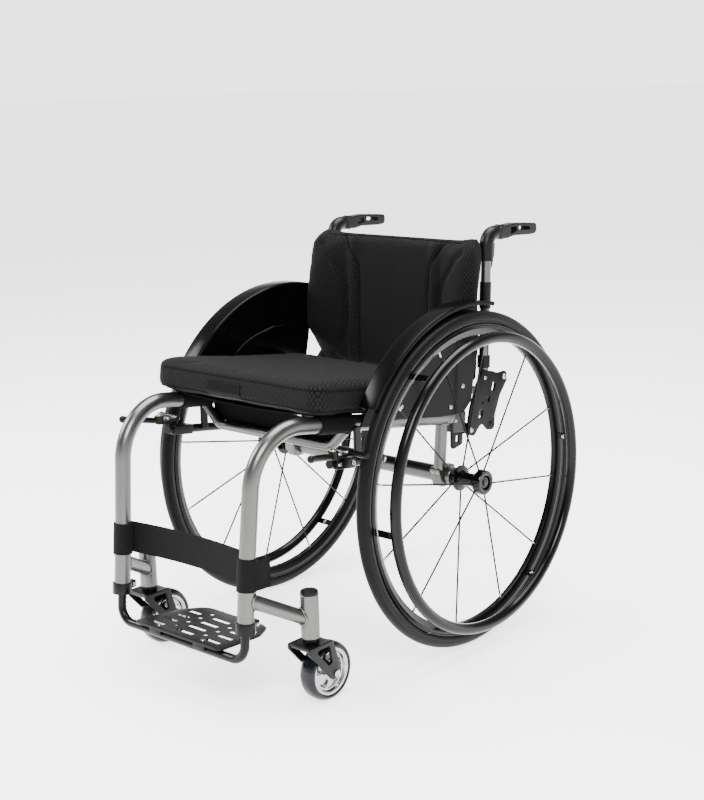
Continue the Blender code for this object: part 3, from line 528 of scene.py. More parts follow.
def weld_bead(start: Point, end: Point, radius: float, wall: Form, size: float = 0.0022) -> Form:
    """The weld where a round bar meets a wall.

    Args:
        start: A place on the bar's axis, away from the wall.
        end: A place on the axis inside the wall.
        radius: The bar's radius.
        wall: The shape that the bar is welded to.
        size: The bead's radius.

    Returns:
        The bead, as a closed ring.
    """
    origin, target = Vector(start), Vector(end)
    ahead = (target - origin).normalized()
    across = ahead.orthogonal().normalized()
    skin = wall.skin()
    ring = []
    for step in range(WELD_STEPS):
        spoke = across.copy()
        spoke.rotate(Matrix.Rotation(math.tau * step / WELD_STEPS, 3, ahead))
        hit = skin.ray_cast(origin + spoke * radius, ahead)[0]
        if hit is not None:
            ripple = 1.0 + 0.10 * math.sin(step * math.tau / 4)
            ring.append(hit + spoke * 0.0006 * ripple - ahead * 0.0004 * ripple)
    return Form.tube(ring, size, 10, ring=True)


# ---------------------------------------------------------------- finishes


class Effects:
    """The shader node groups that several finishes share, each built once."""

    @staticmethod
    def _group(name: str, inputs: Sequence[tuple[str, float]], outputs: Sequence[str]) -> tuple:
        """Start a node group.

        Args:
            name: The group's name.
            inputs: The names and starting values of its number inputs, after its vector.
            outputs: The names of its number outputs.

        Returns:
            The tree, its input node, its output node, and whether it is new.
        """
        found = bpy.data.node_groups.get(name)
        if found:
            return found, None, None, False
        tree = bpy.data.node_groups.new(name, "ShaderNodeTree")
        tree.interface.new_socket("Vector", in_out="INPUT", socket_type="NodeSocketVector")
        for label, value in inputs:
            made = tree.interface.new_socket(label, in_out="INPUT", socket_type="NodeSocketFloat")
            made.default_value = value
        for label in outputs:
            tree.interface.new_socket(label, in_out="OUTPUT", socket_type="NodeSocketFloat")
        return tree, tree.nodes.new("NodeGroupInput"), tree.nodes.new("NodeGroupOutput"), True

    @staticmethod
    def maths(tree: bpy.types.NodeTree, operation: str, first: object, second: object = None) -> object:
        """One Math node.

        Args:
            tree: The node tree.
            operation: The Math node's operation.
            first: A number or an output socket.
            second: A number or an output socket, where the operation takes two.

        Returns:
            The node's output socket.
        """
        made = tree.nodes.new("ShaderNodeMath")
        made.operation = operation
        for socket, value in zip(made.inputs, (first, second)):
            if isinstance(value, (int, float)):
                socket.default_value = value
            elif value is not None:
                tree.links.new(value, socket)
        return made.outputs[0]

    @classmethod
    def grain(cls) -> bpy.types.NodeTree:
        """Fine grain and broad clouding, as two masks about a half."""
        inputs = [("Scale", 900.0), ("Clouding", 9.0)]
        tree, start, end, new = cls._group("surface_grain", inputs, ["Fine", "Broad"])
        if new:
            fine = tree.nodes.new("ShaderNodeTexNoise")
            fine.inputs["Detail"].default_value = 4.0
            broad = tree.nodes.new("ShaderNodeTexNoise")
            broad.inputs["Detail"].default_value = 3.0
            tree.links.new(start.outputs["Vector"], fine.inputs["Vector"])
            tree.links.new(start.outputs["Scale"], fine.inputs["Scale"])
            tree.links.new(start.outputs["Vector"], broad.inputs["Vector"])
            tree.links.new(start.outputs["Clouding"], broad.inputs["Scale"])
            tree.links.new(fine.outputs["Fac"], end.inputs["Fine"])
            tree.links.new(broad.outputs["Fac"], end.inputs["Broad"])
        return tree

    @classmethod
    def spacer_mesh(cls) -> bpy.types.NodeTree:
        """Knitted spacer fabric: rows of small open cells on the slant."""
        tree, start, end, new = cls._group("spacer_mesh", [("Pitch", 0.004), ("Stretch", 1.0)], ["Yarn"])
        if new:
            parts = tree.nodes.new("ShaderNodeSeparateXYZ")
            tree.links.new(start.outputs["Vector"], parts.inputs[0])
            along = cls.maths(tree, "DIVIDE", parts.outputs["X"], start.outputs["Pitch"])
            up = cls.maths(tree, "DIVIDE", parts.outputs["Y"], start.outputs["Pitch"])
            up = cls.maths(tree, "MULTIPLY", up, start.outputs["Stretch"])
            rising = cls.maths(tree, "MULTIPLY", cls.maths(tree, "ADD", along, up), math.pi)
            falling = cls.maths(tree, "MULTIPLY", cls.maths(tree, "SUBTRACT", along, up), math.pi)
            first = cls.maths(tree, "ABSOLUTE", cls.maths(tree, "SINE", rising))
            other = cls.maths(tree, "ABSOLUTE", cls.maths(tree, "SINE", falling))
            cell = cls.maths(tree, "MULTIPLY", first, other)
            tree.links.new(cls.maths(tree, "POWER", cell, 0.6), end.inputs["Yarn"])
        return tree

    @classmethod
    def webbing(cls) -> bpy.types.NodeTree:
        """Woven tape: fine ribs across, broken by the warp."""
        tree, start, end, new = cls._group("webbing", [("Pitch", 0.0016)], ["Yarn"])
        if new:
            parts = tree.nodes.new("ShaderNodeSeparateXYZ")
            tree.links.new(start.outputs["Vector"], parts.inputs[0])
            along = cls.maths(tree, "DIVIDE", parts.outputs["X"], start.outputs["Pitch"])
            up = cls.maths(tree, "DIVIDE", parts.outputs["Y"], start.outputs["Pitch"])
            rib = cls.maths(
                tree, "ABSOLUTE", cls.maths(tree, "SINE", cls.maths(tree, "MULTIPLY", along, math.pi))
            )
            warp = cls.maths(
                tree, "ABSOLUTE", cls.maths(tree, "SINE", cls.maths(tree, "MULTIPLY", up, math.pi))
            )
            warp = cls.maths(tree, "MULTIPLY_ADD", warp, 0.45)
            warp.node.inputs[2].default_value = 0.55
            tree.links.new(cls.maths(tree, "MULTIPLY", rib, warp), end.inputs["Yarn"])
        return tree


@dataclass(frozen=True)
class Finish:
    """A hard surface: its colour and gloss, with a fine grain and a faint clouding."""

    name: str
    colour: tuple[float, float, float]
    roughness: float
    metallic: float = 0.0
    coat: float = 0.0
    specular: float = 0.5
    grain_scale: float = 900.0
    grain_depth: float = 0.00003
    clouding: float = 0.12
    roughness_spread: float = 0.06

    def _shader(self) -> tuple[bpy.types.Material, bpy.types.NodeTree, bpy.types.Node]:
        """A new material with its shader, and the plain values set on the shader itself."""
        made = bpy.data.materials.new(self.name)
        made.use_nodes = True
        tree = made.node_tree
        shader = tree.nodes["Principled BSDF"]
        shader.inputs["Base Color"].default_value = (*self.colour, 1.0)
        shader.inputs["Roughness"].default_value = self.roughness
        shader.inputs["Metallic"].default_value = self.metallic
        shader.inputs["Coat Weight"].default_value = self.coat
        shader.inputs["Specular IOR Level"].default_value = self.specular
        shader.inputs["Coat Roughness"].default_value = 0.06
        made.diffuse_color = (*self.colour, 1.0)
        return made, tree, shader

    def _tinted(self, tree: bpy.types.NodeTree, mask: object, low: float, high: float) -> object:
        """The colour, darkened and lightened by a mask.

        Args:
            tree: The node tree.
            mask: The mask's output socket.
            low: The colour's factor where the mask is 0.
            high: Its factor where the mask is 1.

        Returns:
            The colour's output socket.
        """
        mix = tree.nodes.new("ShaderNodeMix")
        mix.data_type = "RGBA"
        mix.inputs["A"].default_value = (*[part * low for part in self.colour], 1.0)
        mix.inputs["B"].default_value = (*[min(1.0, part * high) for part in self.colour], 1.0)
        tree.links.new(mask, mix.inputs["Factor"])
        return mix.outputs["Result"]

    @staticmethod
    def _ranged(tree: bpy.types.NodeTree, mask: object, low: float, high: float) -> object:
        """A mask carried from 0..1 to another range."""
        span = tree.nodes.new("ShaderNodeMapRange")
        span.inputs["To Min"].default_value = low
        span.inputs["To Max"].default_value = high
        tree.links.new(mask, span.inputs["Value"])
        return span.outputs["Result"]

    @staticmethod
    def _bumped(tree: bpy.types.NodeTree, shader: bpy.types.Node, height: object, depth: float) -> None:
        """Feed a height to the shader's normal, with a depth in metres."""
        bump = tree.nodes.new("ShaderNodeBump")
        bump.inputs["Distance"].default_value = depth
        bump.inputs["Strength"].default_value = 1.0
        tree.links.new(height, bump.inputs["Height"])
        tree.links.new(bump.outputs["Normal"], shader.inputs["Normal"])

    def _effect(self, tree: bpy.types.NodeTree, group: bpy.types.NodeTree, source: str) -> bpy.types.Node:
        """Place a shared effect, fed with the object's or its map's coordinates."""
        where = tree.nodes.new("ShaderNodeTexCoord")
        node = tree.nodes.new("ShaderNodeGroup")
        node.node_tree = group
        tree.links.new(where.outputs[source], node.inputs["Vector"])
        return node

    def made(self) -> bpy.types.Material:
        """Build the material."""
        made, tree, shader = self._shader()
        grain = self._effect(tree, Effects.grain(), "Object")
        grain.inputs["Scale"].default_value = self.grain_scale
        tint = self._tinted(tree, grain.outputs["Broad"], 1 - self.clouding, 1 + self.clouding)
        tree.links.new(tint, shader.inputs["Base Color"])
        low, high = self.roughness - self.roughness_spread, self.roughness + self.roughness_spread
        tree.links.new(self._ranged(tree, grain.outputs["Broad"], low, high), shader.inputs["Roughness"])
        self._bumped(tree, shader, grain.outputs["Fine"], self.grain_depth)
        return made


@dataclass(frozen=True)
class Cloth(Finish):
    """A knitted spacer mesh, with its open cells darker and deeper than its yarn."""

    pitch: float = 0.004
    stretch: float = 1.0
    depth: float = 0.0006
    sheen: float = 0.01
    contrast: float = 0.75

    def _weave(self, tree: bpy.types.NodeTree) -> bpy.types.Node:
        """Place the weave, on the piece's own map."""
        weave = self._effect(tree, Effects.spacer_mesh(), "UV")
        weave.inputs["Pitch"].default_value = self.pitch
        weave.inputs["Stretch"].default_value = self.stretch
        return weave

    def made(self) -> bpy.types.Material:
        """Build the material."""
        made, tree, shader = self._shader()
        shader.inputs["Sheen Weight"].default_value = self.sheen
        shader.inputs["Sheen Roughness"].default_value = 0.5
        weave = self._weave(tree)
        tint = self._tinted(tree, weave.outputs["Yarn"], 1 - self.contrast, 1 + 2.4 * self.contrast)
        tree.links.new(tint, shader.inputs["Base Color"])
        rough = self._ranged(
            tree, weave.outputs["Yarn"], min(1.0, self.roughness + 0.08), self.roughness - 0.08
        )
        tree.links.new(rough, shader.inputs["Roughness"])
        self._bumped(tree, shader, weave.outputs["Yarn"], self.depth)
        return made


@dataclass(frozen=True)
class Tape(Cloth):
    """Woven webbing."""

    def _weave(self, tree: bpy.types.NodeTree) -> bpy.types.Node:
        """Place the ribs, on the piece's own map."""
        weave = self._effect(tree, Effects.webbing(), "UV")
        weave.inputs["Pitch"].default_value = self.pitch
        return weave


@dataclass
class Palette:
    """Every finish of the chair, built once."""

    silver: Finish = Finish("satin_silver", (0.105, 0.104, 0.101), 0.30, 0.95, grain_depth=0.00005)
    bead: Finish = Finish("weld_silver", (0.12, 0.12, 0.117), 0.28, 0.95, grain_depth=0.0002, grain_scale=500)
    polished: Finish = Finish("polished_silver", (0.36, 0.36, 0.355), 0.14, 1.0, clouding=0.05)
    steel: Finish = Finish("bright_screw", (0.38, 0.38, 0.375), 0.18, 1.0)
    brass: Finish = Finish("brass_washer", (0.40, 0.24, 0.06), 0.28, 1.0)
    cast: Finish = Finish(
        "cast_grey", (0.018, 0.019, 0.021), 0.42, 0.4, specular=0.3, grain_depth=0.0001, grain_scale=600
    )
    black: Finish = Finish("satin_black", (0.0012, 0.0012, 0.0013), 0.30, specular=0.14)
    plate: Finish = Finish("plate_black", (0.0010, 0.0010, 0.0012), 0.36, specular=0.11)
    gloss: Finish = Finish("gloss_guard", (0.0010, 0.0010, 0.0011), 0.22, specular=0.06, grain_depth=0.00001)
    plastic: Finish = Finish(
        "handle_plastic", (0.0018, 0.0018, 0.0020), 0.36, specular=0.14, grain_depth=0.00006
    )
    foot: Finish = Finish(
        "foot_plate_grey", (0.0030, 0.0031, 0.0034), 0.42, specular=0.15, grain_depth=0.00012
    )
    tyre: Finish = Finish("tyre_rubber", (0.0013, 0.0014, 0.0015), 0.46, specular=0.12, grain_depth=0.00006)
    rim: Finish = Finish("rim_black", (0.0010, 0.0010, 0.0012), 0.24, specular=0.18)
    hub: Finish = Finish("hub_black", (0.0010, 0.0010, 0.0011), 0.16, specular=0.22)
    hub_ring: Finish = Finish("hub_ring_grey", (0.007, 0.0074, 0.0078), 0.30, 0.3, specular=0.3)
    spoke: Finish = Finish("spoke_black", (0.0012, 0.0012, 0.0012), 0.40, specular=0.1)
    handrim: Finish = Finish("handrim_black", (0.0014, 0.0014, 0.0016), 0.18, specular=0.16)
    fork: Finish = Finish("fork_black", (0.0012, 0.0012, 0.0014), 0.28, specular=0.16)
    caster_tyre: Finish = Finish(
        "caster_rubber", (0.0013, 0.0019, 0.0036), 0.14, specular=0.24, grain_depth=0.00001
    )
    cushion: Cloth = Cloth(
        "cushion_mesh", (0.0032, 0.0032, 0.0035), 0.80, specular=0.05, pitch=0.0066, stretch=0.55, contrast=0.92
    )
    pad: Cloth = Cloth(
        "pad_mesh", (0.0025, 0.0025, 0.0028), 0.82, specular=0.05, pitch=0.0056, stretch=0.62, contrast=0.92
    )
    sewn: Cloth = Cloth(
        "sewn_edge", (0.0012, 0.0012, 0.0014), 0.90, specular=0.05, pitch=0.0016, depth=0.0002
    )
    webbing: Tape = Tape(
        "black_webbing", (0.0018, 0.0018, 0.0019), 0.80, specular=0.09, pitch=0.0020, depth=0.0003, contrast=0.5
    )
    sling: Tape = Tape(
        "sling_cloth", (0.0014, 0.0014, 0.0015), 0.85, specular=0.07, pitch=0.0012, depth=0.0002, contrast=0.4
    )
    label: Tape = Tape(
        "blank_label", (0.0007, 0.0007, 0.0008), 0.55, specular=0.05, pitch=0.0008, depth=0.00005, contrast=0.3
    )
    built: dict[str, bpy.types.Material] = field(default_factory=dict)

    def use(self, label: str) -> bpy.types.Material:
        """The material of a finish, by the finish's name here."""
        if label not in self.built:
            self.built[label] = getattr(self, label).made()
        return self.built[label]


PALETTE = Palette()


# ---------------------------------------------------------------- frame


@dataclass
class SideFrame:
    """The bent side tubes with the arms and housings that carry the casters."""

    tube: float = 0.0140
    foot: Vector = field(default_factory=lambda: Vector((0.1545, -0.4869, 0.1585)))
    knee: Vector = field(default_factory=lambda: Vector((0.1545, -0.4770, 0.2600)))
    corner: Vector = field(default_factory=lambda: Vector((0.1600, -0.4556, 0.4806)))
    rail_end: Vector = field(default_factory=lambda: Vector((0.1900, 0.0078, 0.4134)))
    bend_radius: float = 0.095
    stem: tuple[float, float] = (0.2035, -0.3870)
    housing: float = 0.0155
    housing_low: float = 0.1195
    housing_high: float = 0.1955

    @property
    def leg_axis(self) -> Vector:
        """The way a front leg rises."""
        return (self.knee - self.foot).normalized()

    @property
    def rail_tilt(self) -> float:
        """The seat rails' slope."""
        run = self.rail_end - self.corner
        return math.atan2(run.z, run.y)

    def leg(self, z: float) -> Vector:
        """The left front leg's centre at a height."""
        return self.foot.lerp(self.knee, (z - self.foot.z) / (self.knee.z - self.foot.z))

    def rail(self, y: float) -> Vector:
        """The left seat rail's centre at a distance behind the axle."""
        return self.corner.lerp(self.rail_end, (y - self.corner.y) / (self.rail_end.y - self.corner.y))

    def path(self, side: Side) -> list[Vector]:
        """The centre line of a side tube, from foot to rear end."""
        line = bend([self.foot, self.knee, self.corner, self.rail_end], [0.5, self.bend_radius], 28)
        return [side.at(place) for place in line]

    def _main_tube(self, side: Side) -> None:
        """Build one side tube, with the bore that the footrest tube slides in."""
        bore = Form.rod(side.at(self.foot - self.leg_axis * 0.01), side.at(self.leg(0.2485)), 0.0084)
        main = Form.tube(self.path(side), self.tube, 36).carved(bore)
        name = f"main_tube_{side.label}"
        main.piece(f"side_tube_{side.label}", "silver", "frame", [name])

    def _caster_support(self, side: Side) -> None:
        """Build the arm, the bearing housing, its cap and their welds."""
        x, y = side.value * self.stem[0], self.stem[1]
        start, end = side.at(self.leg(0.203)), Vector((x, y, 0.150))
        arm = Form.rod(start, end, 0.0122, 32)
        label = side.label
        housing = Form.turned(
            [
                (self.housing_low, 0.0068), (self.housing_low, 0.0147),
                (self.housing_low + 0.0008, self.housing),
                (self.housing_high - 0.0006, self.housing), (self.housing_high, 0.0149),
                (self.housing_high, 0.0), (0.187, 0.0), (0.187, 0.0068),
            ],
            48,
            ring=True,
        ).moved(Matrix.Translation((x, y, 0)) @ UPRIGHT)
        leg = Form.tube(self.path(side), self.tube, 36)
        beads = weld_bead(start, end, 0.0122, housing).with_forms(weld_bead(end, start, 0.0122, leg))
        beads.piece(f"caster_welds_{label}", "bead", "frame", sharp=80)
        arm.piece(f"caster_support_arm_{label}", "silver", "frame", [f"caster_arm_{label}"])
        housing.piece(f"caster_bearing_{label}", "silver", "frame", [f"caster_housing_{label}"])
        top = self.housing_high
        cap = Form.turned(
            [
                (top + 0.0003, 0.0), (top + 0.0003, 0.0153), (top + 0.0038, 0.0153),
                (top + 0.0052, 0.0148), (top + 0.0060, 0.0134), (top + 0.0062, 0.0),
            ],
            48,
        ).moved(Matrix.Translation((x, y, 0)) @ UPRIGHT)
        cap.piece(f"caster_dust_cap_{label}", "black", "frame", [f"caster_cap_{label}"])

    def _cross_tube(self) -> None:
        """Build the tube that joins the rails under the front of the seat."""
        half = [Vector((0.1720, -0.2520, 0.4390)), Vector((0.1380, -0.2520, 0.4050))]
        ends = [Side.RIGHT.at(place) for place in half] + half[::-1]
        Form.tube(bend(ends, [0.034, 0.034], 14), 0.0088, 28).piece(
            "under_seat_tube", "silver", "frame", ["front_cross_tube"]
        )

    def build(self) -> None:
        """Build both sides and the tube between them."""
        for side in Side:
            self._main_tube(side)
            self._caster_support(side)
        self._cross_tube()


@dataclass
class AxleFrame:
    """The cross axle tube, its castings, the rear struts and the rear brackets."""

    side_frame: SideFrame
    height: float = 0.3050
    tube: float = 0.0150
    strut: float = 0.0112

    def _tube_and_castings(self) -> None:
        """Build the axle tube with a clamp casting and screws near each end."""
        profile = [
            (-0.2060, 0.0066), (-0.2060, 0.0165), (-0.2052, 0.0170), (-0.1968, 0.0170),
            (-0.1955, self.tube), (0.1955, self.tube), (0.1968, 0.0170), (0.2052, 0.0170),
            (0.2060, 0.0165), (0.2060, 0.0066),
        ]
        lift = Matrix.Translation((0, 0, self.height))
        made = Form.turned(profile, 48, ring=True).moved(lift)
        outline = rounded(
            [(-0.0200, 0.2870), (0.0170, 0.2870), (0.0190, 0.3230), (-0.0300, 0.3230)],
            [0.006, 0.006, 0.003, 0.003],
        )
        castings = [
            Form.plate(outline, 0.1720, 0.1940).softened(0.0016, 3).moved(side.mirror) for side in Side
        ]
        made.with_forms(*castings)
        made.piece("axle_beam", "silver", "frame", ["axle_tube"])
        screws = [
            Form.screw(side.at((x, -0.0265, 0.3160)), (0, -1, 0.1), 0.0036)
            for side in Side
            for x in (0.1775, 0.1885)
        ]
        Form().with_forms(*screws).piece("axle_clamp_screws", "steel", "frame")

    def _strut(self, side: Side) -> None:
        """Build one rear strut with the weld under its rail."""
        foot = side.at((0.1860, -0.0170, 0.3200))
        head = side.at((0.1870, -0.0090, 0.4200))
        rail = Form.tube(self.side_frame.path(side), self.side_frame.tube, 36)
        bead = weld_bead(foot, head, self.strut, rail)
        strut = Form.rod(foot, head, self.strut, 32)
        strut.piece(f"strut_{side.label}", "silver", "frame", [f"rear_strut_{side.label}"])
        bead.piece(f"strut_weld_{side.label}", "bead", "frame", sharp=80)

    def _bracket(self, side: Side) -> None:
        """Build one rear bracket: the grey casting, and the black tab that carries the back."""
        box = rounded(
            [(0.0105, 0.3830), (0.0460, 0.3780), (0.0500, 0.4180), (0.0105, 0.4250)],
            [0.003, 0.004, 0.006, 0.004],
        )
        casting = Form.plate(box, 0.1770, 0.1968).softened(0.0018, 3).moved(side.mirror)
        casting.piece(
            f"rear_casting_{side.label}", "cast", "frame", [f"rear_bracket_{side.label}"]
        )
        tab = rounded(
            [(0.0160, 0.3480), (0.0480, 0.3540), (0.0490, 0.3900), (0.0160, 0.3900)],
            [0.006, 0.006, 0.002, 0.002],
        )
        window = rounded(
            [(0.0270, 0.3590), (0.0370, 0.3600), (0.0380, 0.3740), (0.0280, 0.3730)], [0.001] * 4
        )
        hook = Form.plate(tab, 0.1850, 0.1900).softened(0.0008, 3).carved(Form.plate(window, 0.18, 0.195))
        lobe = rounded(
            [(0.0400, 0.3730), (0.0640, 0.3720), (0.0650, 0.3880), (0.0400, 0.4020)],
            [0.004, 0.007, 0.007, 0.004],
        )
        ear = Form.plate(lobe, 0.1861, 0.1911).softened(0.0008, 2)
        hook.with_forms(ear).moved(side.mirror)
        hook.piece(f"back_pivot_tab_{side.label}", "plate", "frame")
        screw = Form.screw(side.at((0.1968, 0.018, 0.404)), side.at((1, 0, 0)), 0.0034)
        screw.piece(f"rear_casting_screw_{side.label}", "steel", "frame")

    def build(self) -> None:
        """Build the whole rear of the frame."""
        self._tube_and_castings()
        for side in Side:
            self._strut(side)
            self._bracket(side)


# ---------------------------------------------------------------- soft goods


def puffed(form: Form, voxel: float, pressure: float, cap: float) -> Form:
    """Swell a closed shape as stuffed fabric swells, by cloth simulation.

    Args:
        form: The shape before it is stuffed.
        voxel: The size, in metres, that it is remeshed at.
        pressure: The pressure inside it.
        cap: The furthest that any point may move.

    Returns:
        The stuffed shape, with one more level of subdivision.
    """
    mesh = bpy.data.meshes.new("stuffing")
    form.bm.to_mesh(mesh)
    form.bm.free()
    carrier = bpy.data.objects.new("stuffing", mesh)
    bpy.context.scene.collection.objects.link(carrier)
    remesh = carrier.modifiers.new("remesh", "REMESH")
    remesh.mode = "VOXEL"
    remesh.voxel_size = voxel
    graph = bpy.context.evaluated_depsgraph_get()
    even = bpy.data.meshes.new_from_object(carrier.evaluated_get(graph))
    carrier.modifiers.clear()
    carrier.data = even
    bpy.data.meshes.remove(mesh)
    before = [vert.co.copy() for vert in even.vertices]
    step = carrier.modifiers.new("stuff", "CLOTH")
    step.settings.quality = 5
    step.settings.use_pressure = True
    step.settings.uniform_pressure_force = pressure
    step.settings.effector_weights.gravity = 0.0
    step.point_cache.frame_start = 1
    step.point_cache.frame_end = STUFF_FRAMES
    for number in range(1, STUFF_FRAMES + 1):
        bpy.context.scene.frame_set(number)
    graph = bpy.context.evaluated_depsgraph_get()
    after = [vert.co.copy() for vert in carrier.evaluated_get(graph).data.vertices]
    carrier.modifiers.clear()
    bpy.context.scene.frame_set(1)
    for vert, old, new in zip(even.vertices, before, after):
        shift = new - old
        if shift.length > cap:
            shift = shift.normalized() * cap
        vert.co = old + shift
    smooth = carrier.modifiers.new("smooth", "SUBSURF")
    smooth.levels = 1
    smooth.render_levels = 1
    graph = bpy.context.evaluated_depsgraph_get()
    fine = bpy.data.meshes.new_from_object(carrier.evaluated_get(graph))
    made = Form()
    made.bm.from_mesh(fine)
    bpy.data.objects.remove(carrier, do_unlink=True)
    bpy.data.meshes.remove(fine)
    return made.outward()


def laid_on(skin: BVHTree, line: Iterable[Point], lift: float) -> list[Vector]:
    """Lay a line on a surface.

    Args:
        skin: The surface's search tree.
        line: The line's points, near the surface.
        lift: How far above the surface it lies.

    Returns:
        The laid points.
    """
    laid = []
    for place in line:
        spot, normal, _, _ = skin.find_nearest(Vector(place))
        laid.append(spot + normal * lift)
    return laid


@dataclass
class Seat:
    """The sling laced to the rails, and the loose foam cushion in its mesh cover."""

    side_frame: SideFrame
    width: float = 0.404
    depth: float = 0.380
    setback: float = -0.0080
    low: float = 0.0165
    high: float = 0.0775
    corner: float = 0.030

    @property
    def plane(self) -> Matrix:
        """From seat coordinates (x across, y back, z up from the rails' middle) to the chair."""
        middle = self.side_frame.rail(-0.16)
        return Matrix.Translation((0, middle.y, middle.z)) @ Matrix.Rotation(
            self.side_frame.rail_tilt, 4, "X"
        )

    def _sling(self) -> None:
        """Build the sling's panel and the sleeves that hold it to the rails."""
        top = self.side_frame.tube + 0.0024
        front_x, rear_x = self.side_frame.rail(-0.330).x, self.side_frame.rail(-0.030).x
        corners = [(-front_x, -0.172), (front_x, -0.172), (rear_x, 0.130), (-rear_x, 0.130)]
        panel = Form.plate(corners, top - 0.0012, top + 0.0010, Axis.Z)
        bmesh.ops.subdivide_edges(panel.bm, edges=panel.bm.edges, cuts=14, use_grid_fill=True)
        for vert in panel.bm.verts:
            across = min(1.0, abs(vert.co.x) / front_x)
            vert.co.z -= 0.006 * (1 - across**2)
        cloth = panel.moved(self.plane).piece("sling_panel", "sling", "frame", ["seat_sling"])
        sleeves = []
        for side in Side:
            ends = [side.at(self.side_frame.rail(y)) for y in (-0.318, -0.245)]
            ahead = (ends[1] - ends[0]) * 0.2
            core = Form.tube([ends[0] - ahead, ends[1] + ahead], SLEEVE_BORE, 36)
            sleeves.append(Form.tube(ends, 0.0168, 36).carved(core).softened(0.0008, 2))
        apron_line = [(-0.1600, -0.2430), (-0.1300, -0.2415), (0.1300, -0.2415), (0.1600, -0.2430)]
        apron = Form.plate(
            apron_line + [(x, y + 0.0022) for x, y in reversed(apron_line)], 0.4060, 0.4450, Axis.Z
        )
        bmesh.ops.subdivide_edges(apron.bm, edges=apron.bm.edges, cuts=4, use_grid_fill=True)
        for vert in apron.bm.verts:
            vert.co.z += 0.0100 * (abs(vert.co.x) / 0.16) ** 4 if vert.co.z < 0.43 else 0.0
        wrapped = Form().with_forms(*sleeves, apron)
        wrap = wrapped.piece("sling_sleeves", "sling", "frame")

    def _outline(self, inset: float, z: float) -> list[Vector]:
        """A line round the cushion, in seat coordinates.

        Args:
            inset: How far inside the cushion's sides it runs.
            z: Its height above the rails' middle.

        Returns:
            The line's points, closed.
        """
        x, y = self.width / 2 - inset, self.depth / 2 - inset
        plan = rounded([(-x, -y), (x, -y), (x, y), (-x, y)], [self.corner] * 4, 8)
        return [Vector((a, b + self.setback, z)) for a, b in plan + plan[:1]]

    def _cushion(self) -> None:
        """Build the stuffed cushion, its piping and the blank tag on its front."""
        shrink = 0.005
        x, y = self.width / 2 - shrink, self.depth / 2 - shrink
        plan = rounded([(-x, -y), (x, -y), (x, y), (-x, y)], [self.corner] * 4, 8)
        foam = Form.plate(plan, self.low, self.high - shrink, Axis.Z).softened(0.012, 4)
        foam.moved(Matrix.Translation((0, self.setback, 0)))
        soft = puffed(foam, 0.0055, 4.0, 0.007)
        half_x, half_y = self.width / 2, self.depth / 2
        soft.fitted((-half_x, self.setback - half_y, self.low), (half_x, self.setback + half_y, self.high))
        for vert in soft.bm.verts:
            across = vert.co.x / half_x
            along = (vert.co.y - self.setback + half_y) / self.depth
            if vert.co.z > 0.040:
                dish = (1 - across**2) * math.sin(math.pi * min(1.0, max(0.0, along)))
                nose = math.exp(-(((along - 0.02) / 0.16) ** 2))
                vert.co.z -= 0.0050 * dish + 0.0035 * nose * (1 - across**2)
            elif vert.co.z < self.low + 0.002 and along > 0.12:
                vert.co.z = self.low + 0.0015
        seam_top = self._outline(0.002, 0.0600)
        for place in seam_top:
            place.z -= 0.0050 * math.cos(math.pi * place.x / self.width) if place.y < -0.1 else 0.0
        seam_low = self._outline(0.002, 0.0225)
        soft.grooved([seam_top, seam_low], 0.0028, 0.0016)
        tree = soft.skin()
        pipes = [
            Form.tube(laid_on(tree, dense(line, 0.006)[:-1], 0.0002), 0.0011, 10, ring=True)
            for line in (seam_top, seam_low)
        ]
        tag_place = (-0.0185, -self.depth / 2, 0.0350)
        tag = Form.block(tag_place, (0.080, 0.0016, 0.029)).softened(0.0004, 2)
        bmesh.ops.subdivide_edges(tag.bm, edges=tag.bm.edges, cuts=6, use_grid_fill=True)
        for vert in tag.bm.verts:
            spot = tree.ray_cast(Vector((vert.co.x, -0.30, vert.co.z)), Vector((0, 1, 0)))[0]
            vert.co.y = spot.y - 0.0006 + (vert.co.y - tag_place[1])
        body = soft.moved(self.plane).piece(
            "cushion_cover", "cushion", "cushion", ["seat_cushion"], sharp=80
        )
        piping = Form().with_forms(*pipes).moved(self.plane)
        piping.piece("cushion_piping", "sewn", "cushion", sharp=80)
        tag.moved(self.plane).piece("cushion_tag", "label", "cushion")

    def build(self) -> None:
        """Build the sling and the cushion."""
        self._sling()
        self._cushion()


